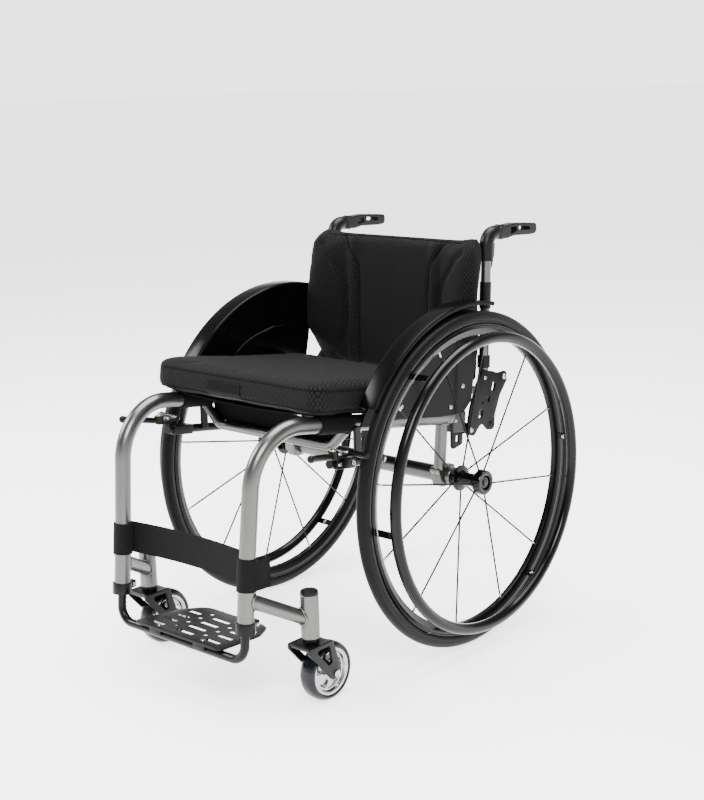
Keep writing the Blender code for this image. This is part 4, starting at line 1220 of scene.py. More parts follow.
@dataclass
class SideGuards:
    """The gloss side panels, whose top edges roll outward over the tyres as mudguards."""

    centre: tuple[float, float] = (0.0020, 0.3165)
    outer: float = 0.3110
    rear_end: float = 77.0
    front_end: float = 147.0
    sheet: tuple[float, float] = (0.2068, 0.2098)

    def _flange(self) -> Form:
        """The rolled edge over the tyre."""
        outer = self.outer
        corners = [
            (0.2066, 0.2950), (0.2066, outer), (0.2464, outer), (0.2464, outer - 0.0075),
            (0.2440, outer - 0.0075), (0.2440, outer - 0.0028), (0.2100, outer - 0.0028),
            (0.2100, 0.2950),
        ]
        section = rounded(corners, [0.0004, 0.0050, 0.0022, 0.0008, 0.0008, 0.0008, 0.0024, 0.0004], 4)
        made = Form()
        verts = [made.bm.verts.new((x, 0.0, radius)) for x, radius in section]
        face = made.bm.faces.new(verts)
        start = Matrix.Rotation(math.radians(self.rear_end - 90), 3, "X")
        bmesh.ops.rotate(made.bm, verts=made.bm.verts, matrix=start)
        bmesh.ops.spin(
            made.bm,
            geom=[face],
            axis=(1, 0, 0),
            cent=(0, 0, 0),
            steps=56,
            angle=math.radians(self.front_end - self.rear_end),
            use_merge=False,
        )
        bmesh.ops.remove_doubles(made.bm, verts=made.bm.verts, dist=1e-6)
        made.outward()
        made.bm.transform(Matrix.Translation((0, *self.centre)))
        return made

    def _panel(self) -> Form:
        """The flat panel below the rolled edge."""
        rim = arc(self.centre, self.outer - 0.0100, self.rear_end, self.front_end, 40)
        lower = [
            (-0.2240, 0.4860), (-0.2420, 0.4720), (-0.2560, 0.4500), (-0.2400, 0.4470),
            (-0.1510, 0.4440), (-0.0400, 0.4250), (0.0250, 0.4200), (0.0480, 0.4380),
            (0.0690, 0.5400),
        ]
        return Form.plate(rim + lower, *self.sheet)

    def build(self) -> None:
        """Build both guards with their raised rib and fixing screws."""
        for side in Side:
            rib_line = [
                (self.sheet[0] - 0.0002, y, z)
                for y, z in ((-0.148, 0.500), (-0.133, 0.514), (-0.110, 0.528), (-0.0835, 0.537), (-0.034, 0.547))
            ]
            rib_line += [(self.sheet[0] - 0.0002, 0.017, 0.546), (self.sheet[0] - 0.0002, 0.050, 0.541)]
            rib = Form.tube(bend(rib_line, [0.05] * 5, 6), 0.0016, 10)
            guard = self._panel().fused(self._flange()).with_forms(rib).moved(side.mirror)
            guard.piece(f"guard_{side.label}", "gloss", "frame", [f"side_guard_{side.label}"], 24)
            screws = [
                Form.screw(side.at((self.sheet[1], y, z)), side.at((1, 0, 0)), 0.0042, 0.0026)
                for y, z in ((0.0230, 0.4695), (-0.0130, 0.4375), (-0.1500, 0.4650))
            ]
            Form().with_forms(*screws).piece(f"guard_screws_{side.label}", "steel", "frame")


@dataclass
class CalfStrap:
    """The webbing strap behind the calves, looped round both front legs."""

    side_frame: SideFrame
    low: float = 0.2170
    high: float = 0.2710
    sag: float = 0.0140
    thickness: float = 0.0022

    def _band(self) -> Form:
        """The band between the legs."""
        lean = self.side_frame.leg_axis.y / self.side_frame.leg_axis.z
        reach = 0.1560
        front = []
        for step in range(41):
            x = -reach + 2 * reach * step / 40
            front.append((x, -0.4790 + self.side_frame.tube + self.sag * (1 - (x / reach) ** 2)))
        back = [(x, y + self.thickness) for x, y in reversed(front)]
        band = Form.plate(front + back, self.low, self.high, Axis.Z)
        middle = (self.low + self.high) / 2
        for vert in band.bm.verts:
            vert.co.y += (vert.co.z - middle) * lean
        return band

    def build(self) -> None:
        """Build the band, the loops round the legs and the free tail."""
        strap = self._band().piece("strap_band", "webbing", "frame", ["calf_strap"])
        loops = []
        for side in Side:
            ends = [side.at(self.side_frame.leg(z)) for z in (self.low, self.high)]
            ahead = (ends[1] - ends[0]) * 0.2
            core = Form.tube([ends[0] - ahead, ends[1] + ahead], SLEEVE_BORE, 40)
            loops.append(Form.tube(ends, 0.0167, 40).carved(core))
        tail_line = [
            (0.1700, -0.4790), (0.1722, -0.4700), (0.1728, -0.4600), (0.1722, -0.4520),
            (0.1735, -0.4460),
        ]
        back = [(x + 0.0020, y + 0.0004) for x, y in reversed(tail_line)]
        loops.append(Form.plate(tail_line + back, self.low + 0.002, self.high - 0.002, Axis.Z))
        wrap = Form().with_forms(*loops).piece("strap_loops", "webbing", "frame")


# ---------------------------------------------------------------- footrest


@dataclass
class Footrest:
    """The collars, the U tube that slides in the legs, and the slotted plate that tips up on it."""

    side_frame: SideFrame
    tube: float = 0.0075
    run_z: float = 0.0970
    tilt: float = math.radians(5.0)
    plate: float = 0.0040

    @property
    def run(self) -> Vector:
        """Where the left leg's line meets the level run."""
        return self.side_frame.leg(self.run_z)

    def _collar(self, side: Side) -> None:
        """Build the clamp collar at the bottom of one leg, with its ear and bolt."""
        foot, rise = side.at(self.side_frame.foot), self.side_frame.leg_axis
        collar = Form.rod(foot - rise * 0.0130, foot + rise * 0.0060, 0.0170, 40).softened(0.0012, 3)
        ear = Form.block((foot.x, foot.y + 0.0200, foot.z - 0.0020), (0.0120, 0.0140, 0.0130)).softened(
            0.0016
        )
        leg_bore = Form.rod(foot - rise * 0.0003, foot + rise * 0.03, 0.01435, 40)
        tube_bore = Form.rod(foot - rise * 0.03, foot + rise * 0.01, 0.0081, 32)
        split = Form.block((foot.x, foot.y + 0.0190, foot.z - 0.0020), (0.0016, 0.0230, 0.0300))
        made = collar.fused(ear).carved(leg_bore, tube_bore).carved(split)
        label = side.label
        made.piece(f"leg_collar_{label}", "black", "frame", [f"footrest_clamp_{label}"])
        hinge = Vector((foot.x, foot.y + 0.0215, foot.z - 0.0020))
        out = side.value * 0.0060
        bolt = Form.rod(hinge - Vector((0.0085, 0, 0)), hinge + Vector((0.0085, 0, 0)), 0.0022, 20)
        heads = [
            Form.screw(hinge + Vector((out * hand, 0, 0)), (out * hand, 0, 0), 0.0038) for hand in (-1, 1)
        ]
        bolt.with_forms(*heads).piece(f"leg_collar_bolt_{label}", "steel", "frame")

    def _tube(self) -> None:
        """Build the U tube that slides in the legs."""
        top = self.side_frame.leg(0.2350)
        ends = [top, self.run, Side.RIGHT.at(self.run), Side.RIGHT.at(top)]
        made = Form.tube(bend(ends, [0.028, 0.028], 20), self.tube, 32)
        made.piece("footrest_u_tube", "black", "footrest", ["footrest_tube"])

    def _plate(self) -> None:
        """Build the plate with its slots, holes, hollow underside, saddles and screws."""
        half = [(0.1080, -0.0130), (0.1000, 0.0900), (0.0760, 0.1330)]
        other = [(-x, y) for x, y in reversed(half)]
        outline = rounded(half + other, [0.012, 0.040, 0.028, 0.028, 0.040, 0.012], 12)
        lift = self.tube + 0.0016
        flat = Form.plate(outline, lift, lift + self.plate, Axis.Z).softened(0.0009, 3)
        openings = []
        for y in (0.0100, 0.0380, 0.0660, 0.0940):
            for x, length in ((-0.0690, 0.0340), (0.0, 0.0420), (0.0690, 0.0340)):
                openings.append(Form.plate(slot(x, y, length, 0.0086), lift - 0.02, lift + 0.01, Axis.Z))
            for x in (-0.0370, 0.0370):
                hole = arc((x, y + 0.0130), 0.0040, 0, 345, 23)
                openings.append(Form.plate(hole, lift - 0.02, lift + 0.01, Axis.Z))
        recess = [(0.0980, 0.0135), (0.0930, 0.0880), (0.0720, 0.1260)]
        recess += [(-x, y) for x, y in reversed(recess)]
        underside = rounded(recess, [0.006, 0.036, 0.024, 0.024, 0.036, 0.006], 8)
        hollow = Form.plate(underside, lift - 0.01, lift + 0.0027, Axis.Z)
        flat = flat.carved(hollow).carved(*openings)
        saddles = [
            Form.block((x, 0.0, lift - 0.0045), (0.0280, 0.0210, 0.0092)).softened(0.0012)
            for x in (-0.055, 0.055)
        ]
        flat = flat.fused(*saddles)
        channel = Form.rod((-0.12, 0, 0), (0.12, 0, 0), self.tube + 0.0003, 32)
        tip = Matrix.Translation((0, self.run.y, self.run.z)) @ Matrix.Rotation(-self.tilt, 4, "X")
        made = flat.carved(channel).moved(tip)
        made.piece("tread_plate", "foot", "foot_plate", ["foot_plate"])
        screws = [Form.screw((x, 0.0, lift + self.plate), (0, 0, 1), 0.0040) for x in (-0.055, 0.055)]
        Form().with_forms(*screws).moved(tip).piece("tread_screws", "steel", "foot_plate")

    def build(self) -> None:
        """Build the whole footrest."""
        for side in Side:
            self._collar(side)
        self._tube()
        self._plate()


# ---------------------------------------------------------------- wheels


@dataclass
class RearWheel:
    """A quick-release spoked wheel with its handrim, axle pin and release button."""

    side: Side
    radius: float = 0.305
    thickness: float = 0.025
    offset: float = 0.2435
    camber: float = math.radians(0.5)
    rim: tuple[float, float] = (0.2625, 0.2825)
    rim_width: float = 0.0205
    steps: int = 144
    spokes: int = 12
    spoke_radius: float = 0.0016
    spoke_phase: float = math.radians(18.8)
    handrim: tuple[float, float, float] = (0.2617, 0.0100, 0.0430)
    tabs: int = 6
    tab_phase: float = math.radians(6.0)
    pin: float = 0.0060

    @property
    def matrix(self) -> Matrix:
        """From wheel coordinates (x outboard along the axle, centre at 0) to the chair."""
        lift = (self.radius - self.thickness / 2) * math.cos(self.camber) + self.thickness / 2
        lean = Matrix.Rotation(-self.camber, 4, "Y")
        return self.side.mirror @ Matrix.Translation((self.offset, 0, lift)) @ lean

    @property
    def body(self) -> str:
        """The body that turns."""
        return f"wheel_{self.side.label}"

    def _place(self, form: Form, name: str, finish: str, body: str, replaces: Sequence[str] = ()) -> None:
        """Carry a form from wheel coordinates to the chair, and finish it."""
        label = self.side.label
        swapped = [f"{node}_{label}" for node in replaces]
        form.moved(self.matrix).piece(f"{name}_{label}", finish, body, swapped)

    def _tyre(self) -> None:
        """Build the tyre with fine lines moulded round its tread and shoulders."""
        core = self.radius - self.thickness / 2
        grooves = {90.0: 0.0007, 78.0: 0.0005, 102.0: 0.0005, 62.0: 0.0006, 118.0: 0.0006}
        grooves |= {48.0: 0.0006, 132.0: 0.0006, 34.0: 0.0006, 146.0: 0.0006, 8.0: 0.0004, 172.0: 0.0004}
        section = []
        for step in range(141):
            angle = -50 + 280 * step / 140
            dent = max((deep for at, deep in grooves.items() if abs(at - angle) < 1.2), default=0.0)
            reach = self.thickness / 2 - dent
            a = math.radians(angle)
            section.append((reach * math.cos(a), core + reach * math.sin(a)))
        self._place(Form.turned(section, self.steps, ring=True), "tyre_casing", "tyre", self.body, ["tyre"])

    def _rim(self) -> None:
        """Build the rim with a hooked edge and a groove down each wall."""
        half, (inner, outer) = self.rim_width / 2, self.rim
        wall = [
            (half, outer), (half, outer - 0.0018), (half - 0.0006, outer - 0.0024),
            (half - 0.0006, outer - 0.0030), (half, outer - 0.0036), (half, outer - 0.0076),
            (half - 0.0004, outer - 0.0086), (0.0058, inner + 0.0022), (0.0045, inner + 0.0005),
            (0.0032, inner),
        ]
        section = wall + [(-x, r) for x, r in reversed(wall)]
        self._place(Form.turned(section, self.steps, ring=True), "wheel_rim", "rim", self.body, ["rim"])

    def _hub(self) -> None:
        """Build the hub shell, its grey end ring and the crossed spokes with their nipples."""
        bore = self.pin + 0.0004
        profile = [
            (-0.0290, bore), (-0.0290, 0.0142), (-0.0282, 0.0150), (-0.0252, 0.0150),
            (-0.0250, 0.0228), (-0.0243, 0.0235), (-0.0212, 0.0235), (-0.0205, 0.0228),
            (-0.0190, 0.0152), (-0.0120, 0.0128), (0.0000, 0.0118), (0.0100, 0.0128),
            (0.0180, 0.0165), (0.0192, 0.0220), (0.0202, 0.0226), (0.0325, 0.0219),
            (0.0338, 0.0210), (0.0340, 0.0200), (0.0340, 0.0140), (0.0334, 0.0129),
            (0.0237, 0.0122), (0.0237, bore),
        ]
        shell = Form.turned(profile, 72, ring=True)
        self._place(shell, "hub_shell", "hub", self.body, ["wheel_hub"])
        ring = Form.turned(
            [(0.0337, 0.0146), (0.0344, 0.0150), (0.0346, 0.0158), (0.0345, 0.0190), (0.0337, 0.0196)], 72, ring=True
        )
        self._place(ring, "hub_end_ring", "hub_ring", self.body)
        wires, nipples = [], []
        for index in range(self.spokes):
            angle = self.spoke_phase + index * math.tau / self.spokes
            x, reach = (-0.0228, 0.0215) if index % 2 == 0 else (0.0215, 0.0205)
            lead = math.radians(10 if index % 4 < 2 else -10)
            out = Vector((0, math.cos(angle), math.sin(angle)))
            root = Vector((0, math.cos(angle + lead), math.sin(angle + lead)))
            start, end = Vector((x, 0, 0)) + root * reach, out * (self.rim[0] + 0.0012)
            wires.append(Form.rod(start, end, self.spoke_radius, 16))
            along = (start - end).normalized()
            nipples.append(Form.rod(end, end + along * 0.0120, 0.0020, 20))
        self._place(Form().with_forms(*wires), "spokes", "spoke", self.body)
        self._place(Form().with_forms(*nipples), "spoke_nipples", "steel", self.body)

    def _handrim(self) -> None:
        """Build the handrim with its tabs and their screws."""
        major, minor, x = self.handrim
        section = [(x + a, major + b) for a, b in arc((0, 0), minor, 0, 350, 35)]
        hoop = Form.turned(section, self.steps, ring=True)
        screws = []
        for index in range(self.tabs):
            tab = Form.block((0.0225, 0, 0), (0.0270, 0.0130, 0.0030)).softened(0.0009, 2)
            tab.moved(Matrix.Translation((0, 0, self.rim[0] + 0.0060)))
            head = Form.screw((0.0215, 0, self.rim[0] + 0.0046), (0, 0, -1), 0.0036)
            turn = Matrix.Rotation(self.tab_phase - math.pi / 2 + index * math.tau / self.tabs, 4, "X")
            hoop.with_forms(tab.moved(turn))
            screws.append(head.moved(turn))
        self._place(hoop, "push_rim", "handrim", self.body, ["handrim"])
        self._place(Form().with_forms(*screws), "push_rim_screws", "steel", self.body)

    def _axle(self) -> None:
        """Build the quick-release pin and its button."""
        profile = [
            (-0.0900, 0.0), (-0.0900, self.pin - 0.0010), (-0.0885, self.pin), (0.0240, self.pin),
            (0.0240, 0.0100), (0.0245, 0.0105), (0.0304, 0.0105), (0.0314, 0.0100),
            (0.0318, 0.0092), (0.0318, 0.0064), (0.0312, 0.0061), (0.0254, 0.0061), (0.0254, 0.0),
        ]
        label = self.side.label
        self._place(Form.turned(profile, 48), "quick_release_pin", "hub_ring", f"axle_{label}", ["axle_pin"])
        button = [
            (0.0288, 0.0), (0.0288, 0.0056), (0.0334, 0.0056), (0.0342, 0.0051), (0.0346, 0.0038),
            (0.0347, 0.0),
        ]
        self._place(Form.turned(button, 40), "release_button", "cast", f"button_{label}", ["axle_button"])

    def build(self) -> None:
        """Build the whole wheel."""
        self._tyre()
        self._rim()
        self._hub()
        self._handrim()
        self._axle()


@dataclass
class Caster:
    """A swivelling fork with its wheel, tyre and axle bolt."""

    side: Side
    centre: Vector = field(default_factory=lambda: Vector((0.2035, -0.3540, 0.0510)))
    stem_y: float = -0.3870
    stem_z: float = 0.1195
    width: float = 0.0320
    gap: float = 0.0202
    cheek: float = 0.0055

    def _fork(self) -> None:
        """Build the two cheeks, the crown between them and the stem."""
        centre = self.side.at(self.centre)
        label = self.side.label
        outline = rounded(
            [
                (-0.4170, 0.1120), (-0.4170, 0.1020), (-0.3640, 0.0420), (-0.3420, 0.0440),
                (-0.3430, 0.0600), (-0.3600, 0.1120),
            ],
            [0.003, 0.008, 0.010, 0.008, 0.010, 0.003],
            8,
        )
        window = rounded(
            [(-0.4030, 0.1045), (-0.3690, 0.1045), (-0.3630, 0.0740), (-0.3720, 0.0700)],
            [0.004, 0.004, 0.003, 0.003],
            6,
        )
        bolt = arc((self.centre.y, self.centre.z), 0.0044, 0, 350, 35)
        cheeks = []
        for hand in (-1, 1):
            low, high = sorted((hand * self.gap, hand * (self.gap + self.cheek)))
            cheek = Form.plate(outline, low + centre.x, high + centre.x).softened(0.0012, 3, 50)
            holes = [
                Form.plate(shape, low + centre.x - 0.01, high + centre.x + 0.01) for shape in (window, bolt)
            ]
            cheeks.append(cheek.carved(*holes))
        crown = rounded(
            [(-0.4170, 0.1120), (-0.4150, 0.1050), (-0.3640, 0.1060), (-0.3605, 0.1120)],
            [0.002, 0.002, 0.002, 0.002],
            4,
        )
        reach = self.gap + 0.0010
        bridge = Form.plate(crown, centre.x - reach, centre.x + reach)
        stem = Form.turned(
            [
                (0.1105, 0.0), (0.1105, 0.0140), (self.stem_z - 0.0012, 0.0140),
                (self.stem_z - 0.0006, 0.0134), (self.stem_z - 0.0006, 0.0060), (0.1800, 0.0060),
                (0.1800, 0.0),
            ],
            48,
        ).moved(Matrix.Translation((centre.x, self.stem_y, 0)) @ UPRIGHT)
        made = bridge.fused(*cheeks).fused(stem)
        made.piece(f"fork_{label}", "fork", f"caster_{label}", [f"caster_fork_{label}"])

    def _wheel(self) -> None:
        """Build the tyre and the polished centre with its spokes."""
        label = self.side.label
        place = Matrix.Translation(self.side.at(self.centre))
        half, radius = self.width / 2, self.centre.z
        half_section = [
            (half - 0.0015, 0.0412), (half - 0.0004, 0.0424), (half, 0.0440),
            (half - 0.0010, 0.0462), (half - 0.0030, 0.0480), (half - 0.0060, 0.0497),
            (half - 0.0090, 0.0506), (0.0030, radius),
        ]
        section = half_section + [(-x, r) for x, r in reversed(half_section)]
        tyre = Form.turned(section, 96, ring=True).moved(place)
        tyre.piece(
            f"caster_rubber_{label}", "caster_tyre", f"caster_wheel_{label}", [f"caster_tyre_{label}"]
        )
        out = self.gap - 0.0006
        half_profile = [
            (out, 0.0046), (out, 0.0084), (out - 0.0006, 0.0090), (0.0130, 0.0100),
            (0.0116, 0.0122), (0.0080, 0.0310), (0.0086, 0.0330), (0.0124, 0.0346),
            (0.0138, 0.0360), (0.0142, 0.0380), (0.0142, 0.0402), (0.0136, 0.0410),
        ]
        profile = half_profile + [(-x, r) for x, r in reversed(half_profile)]
        centre = Form.turned(profile, 96, ring=True)
        windows = []
        for index in range(5):
            hole = rounded(
                [(-0.0035, 0.0145), (0.0035, 0.0145), (0.0115, 0.0300), (-0.0115, 0.0300)],
                [0.0020, 0.0020, 0.0045, 0.0045],
                6,
            )
            windows.append(Form.plate(hole, -0.03, 0.03).moved(Matrix.Rotation(index * math.tau / 5, 4, "X")))
        made = centre.carved(*windows).moved(place)
        made.piece(
            f"caster_centre_{label}", "polished", f"caster_wheel_{label}", [f"caster_hub_{label}"]
        )

    def _bolt(self) -> None:
        """Build the axle bolt with its heads."""
        label = self.side.label
        end = self.gap + self.cheek
        half = [
            (end + 0.0032, 0.0040), (end + 0.0029, 0.0058), (end + 0.0022, 0.0067), (end + 0.0003, 0.0068)
        ]
        profile = [(end + 0.0020, 0.0), (end + 0.0020, 0.0032), *half, (end + 0.0003, 0.0040)]
        both = profile + [(-x, r) for x, r in reversed(profile)]
        made = Form.turned(both, 40).moved(Matrix.Translation(self.side.at(self.centre)))
        made.piece(f"caster_bolt_{label}", "steel", f"caster_{label}", [f"caster_axle_{label}"])

    def build(self) -> None:
        """Build the whole caster."""
        self._fork()
        self._wheel()
        self._bolt()


# ---------------------------------------------------------------- back


@dataclass
class BackPad:
    """The padded back with winged sides, in its knitted mesh cover."""

    heights: tuple[float, float] = (0.4640, 0.7240)

    @staticmethod
    def half(z: float) -> list[tuple[float, float]]:
        """Half of the pad's plan at a height, from the rear middle round to the front."""
        lean = 0.0500 * (z - 0.6000)
        crown = max(0.0, (z - 0.690) / 0.034)
        flare = min(1.0, max(0.0, (z - 0.472) / 0.070))
        wing = (0.0360 - 0.0110 * min(1.0, max(0.0, (z - 0.60) / 0.09))) * (1 - crown**2) * flare
        side = 0.2005 - 0.0120 * crown**2 - 0.0080 * (1 - flare)
        front = 0.0840 + 0.0060 * crown**2
        return [
            (0.0, 0.1100 + lean), (side - 0.010, 0.1080 + lean), (side + 0.002, 0.1000 + lean),
            (side, front - wing + 0.006 + lean), (side - 0.016, front - wing + lean),
            (0.1420, front - 0.35 * wing + lean), (0.1180, front + 0.001 + lean),
            (0.1000, front - 0.005 + lean), (0.0860, front + 0.002 + lean),
            (0.0, front + 0.005 + lean),
        ]

    def _core(self, inset: float) -> Form:
        """The pad before it is stuffed.

        Args:
            inset: How far inside the finished surface it lies.

        Returns:
            The closed shape.
        """
        made = Form()
        loops = []
        low, high = self.heights[0] + inset, self.heights[1] - inset
        for step in range(25):
            z = low + (high - low) * step / 24
            half = self.half(z)
            plan = half + [(-x, y) for x, y in half[1:-1]][::-1]
            middle = 0.0970 + 0.0500 * (z - 0.6000)
            drawn = []
            for x, y in plan:
                drawn.append((x * (1 - inset / 0.19), y + (inset if y < middle else -inset) * 0.8))
            loops.append([made.bm.verts.new((x, y, z)) for x, y in drawn])
        for lower, upper in zip(loops, loops[1:]):
            for index in range(len(lower)):
                after = (index + 1) % len(lower)
                made.bm.faces.new((lower[index], lower[after], upper[after], upper[index]))
        made.bm.faces.new(loops[0])
        made.bm.faces.new(loops[-1])
        return made.outward()

    def _front(self, x: float, z: float) -> Vector:
        """A place just ahead of the pad's front, for laying a seam."""
        half = self.half(min(z, 0.7235))
        points = sorted((a, b) for a, b in half[3:])
        for (x0, y0), (x1, y1) in zip(points, points[1:]):
            if x0 <= abs(x) <= x1:
                return Vector((x, y0 + (y1 - y0) * (abs(x) - x0) / (x1 - x0), z))
        return Vector((x, points[-1][1], z))

    def _seams(self, hand: int) -> list[list[Vector]]:
        """The inner seam and the outer crease on one side."""
        inner = [
            (0.126, 0.716), (0.112, 0.700), (0.098, 0.682), (0.088, 0.660), (0.085, 0.620), (0.084, 0.470)
        ]
        outer = [
            (0.170, 0.700), (0.150, 0.672), (0.128, 0.645), (0.117, 0.620), (0.116, 0.560), (0.122, 0.520)
        ]
        outer += [(0.150, 0.484)]
        lines = []
        for places in (inner, outer):
            flat = bend([(x, z, 0.0) for x, z in places], [0.04] * (len(places) - 2), 5)
            lines.append([self._front(hand * place.x, place.y) for place in dense(flat, 0.006)])
        return lines

    def build(self) -> None:
        """Build the stuffed pad, its seams and the sewn edge along its top."""
        core = self._core(0.0)
        full = [vert.co.copy() for vert in core.bm.verts]
        core.bm.free()
        soft = puffed(self._core(0.004).softened(0.004, 3, 50), 0.0050, 3.0, 0.006)
        low = [min(co[axis] for co in full) for axis in range(3)]
        high = [max(co[axis] for co in full) for axis in range(3)]
        soft.fitted(low, high)
        tree = soft.skin()
        seams = [laid_on(tree, line, 0.0) for hand in (-1, 1) for line in self._seams(hand)]
        soft.grooved(seams[0:1] + seams[2:3], 0.0040, 0.0034)
        soft.grooved(seams[1:2] + seams[3:4], 0.0075, 0.0052)
        edge_line = [self._front(0.164 - 0.328 * step / 60, 0.7180) for step in range(61)]
        edge = laid_on(tree, edge_line, 0.0)
        soft.grooved([edge], 0.0026, 0.0012)
        tree = soft.skin()
        cords = [
            Form.tube(laid_on(tree, dense(line, 0.005), 0.0003), 0.0009, 8) for line in (seams[0], seams[2])
        ]
        cords.append(Form.tube(laid_on(tree, edge, 0.0003), 0.0009, 8))
        body = soft.piece("back_cover", "pad", "backrest", ["back_pad"], sharp=80)
        Form().with_forms(*cords).piece("back_stitching", "sewn", "backrest", sharp=80)


@dataclass
class BackFrame:
    """The canes, slotted plates and cross bar that carry the pad, on their pivots."""

    cane: float = 0.0092
    foot: Vector = field(default_factory=lambda: Vector((0.1880, 0.1110, 0.3950)))
    top: Vector = field(default_factory=lambda: Vector((0.1880, 0.1270, 0.7000)))
    plate: tuple[float, float] = (0.1978, 0.2026)

    @property
    def lean(self) -> Vector:
        """The way a cane rises."""
        return (self.top - self.foot).normalized()

    def along(self, z: float) -> Vector:
        """The left cane's centre at a height."""
        return self.foot.lerp(self.top, (z - self.foot.z) / (self.top.z - self.foot.z))

    def _cane(self, side: Side) -> None:
        """Build one cane with its sleeve and clamp."""
        label = side.label
        cane = Form.rod(side.at(self.foot), side.at(self.top), self.cane, 32).softened(0.0008, 2, 60)
        cane.piece(f"cane_{label}", "silver", "backrest", [f"back_cane_{label}"])
        trims = []
        for low, high, radius in ((0.5960, 0.6440, 0.0108), (0.4860, 0.5080, 0.0120)):
            core = Form.rod(
                side.at(self.along(low - 0.01)), side.at(self.along(high + 0.01)), self.cane + 0.0002, 32
            )
            sleeve = Form.rod(side.at(self.along(low)), side.at(self.along(high)), radius, 32).carved(core)
            trims.append(sleeve.softened(0.0006, 2, 60))
        Form().with_forms(*trims).piece(f"cane_sleeves_{label}", "plastic", "backrest")

    def _plate(self, side: Side) -> None:
        """Build one slotted plate with its screws."""
        label = side.label
        outline = rounded(
            [
                (0.0960, 0.4840), (0.1240, 0.4790), (0.1420, 0.4720), (0.1690, 0.4730),
                (0.1700, 0.4540), (0.1480, 0.4300), (0.1310, 0.3940), (0.1290, 0.3660),
                (0.1080, 0.3700), (0.0900, 0.3880), (0.0660, 0.3660), (0.0450, 0.3740),
                (0.0560, 0.4200), (0.0760, 0.4620),
            ],
            [0.008, 0.010, 0.012, 0.008, 0.008, 0.040, 0.025, 0.008, 0.006, 0.012, 0.009, 0.009, 0.040, 0.030],
            10,
        )
        openings = [
            arc((0.1288, 0.4530), 0.0052, 0, 180, 14) + arc((0.1262, 0.4450), 0.0052, 180, 360, 14),
            arc((0.1129, 0.4300), 0.0036, 0, 180, 14) + arc((0.1112, 0.4250), 0.0036, 180, 360, 14),
            arc((0.0878, 0.4070), 0.0066, 0, 180, 14) + arc((0.0868, 0.4020), 0.0066, 180, 360, 14),
            arc((0.0930, 0.4240), 0.0030, 0, 345, 23),
            arc((0.1150, 0.3830), 0.0030, 0, 345, 23),
        ]
        holes = [Form.plate(points, 0.19, 0.21) for points in openings]
        made = Form.plate(outline, *self.plate).softened(0.0008, 3, 50).carved(*holes).moved(side.mirror)
        made.piece(f"recline_plate_{label}", "plate", "backrest", [f"back_plate_{label}"])
        spots = ((0.1606, 0.4624, 0.0058), (0.1000, 0.4700, 0.0038), (0.0568, 0.3795, 0.0046))
        screws = [
            Form.screw(side.at((self.plate[1], y, z)), side.at((1, 0, 0)), radius, 0.0028) for y, z, radius in spots
        ]
        Form().with_forms(*screws).piece(f"recline_screws_{label}", "steel", "backrest")

    def build(self) -> None:
        """Build the back's frame, and the cross bar between the canes."""
        for side in Side:
            self._cane(side)
            self._plate(side)
        inner = self.foot.x - self.cane - 0.0003
        rail = Form.rod((-inner, 0.1130, 0.4400), (inner, 0.1130, 0.4400), 0.0080, 32)
        rail.piece("back_tube", "silver", "backrest", ["back_cross_bar"])


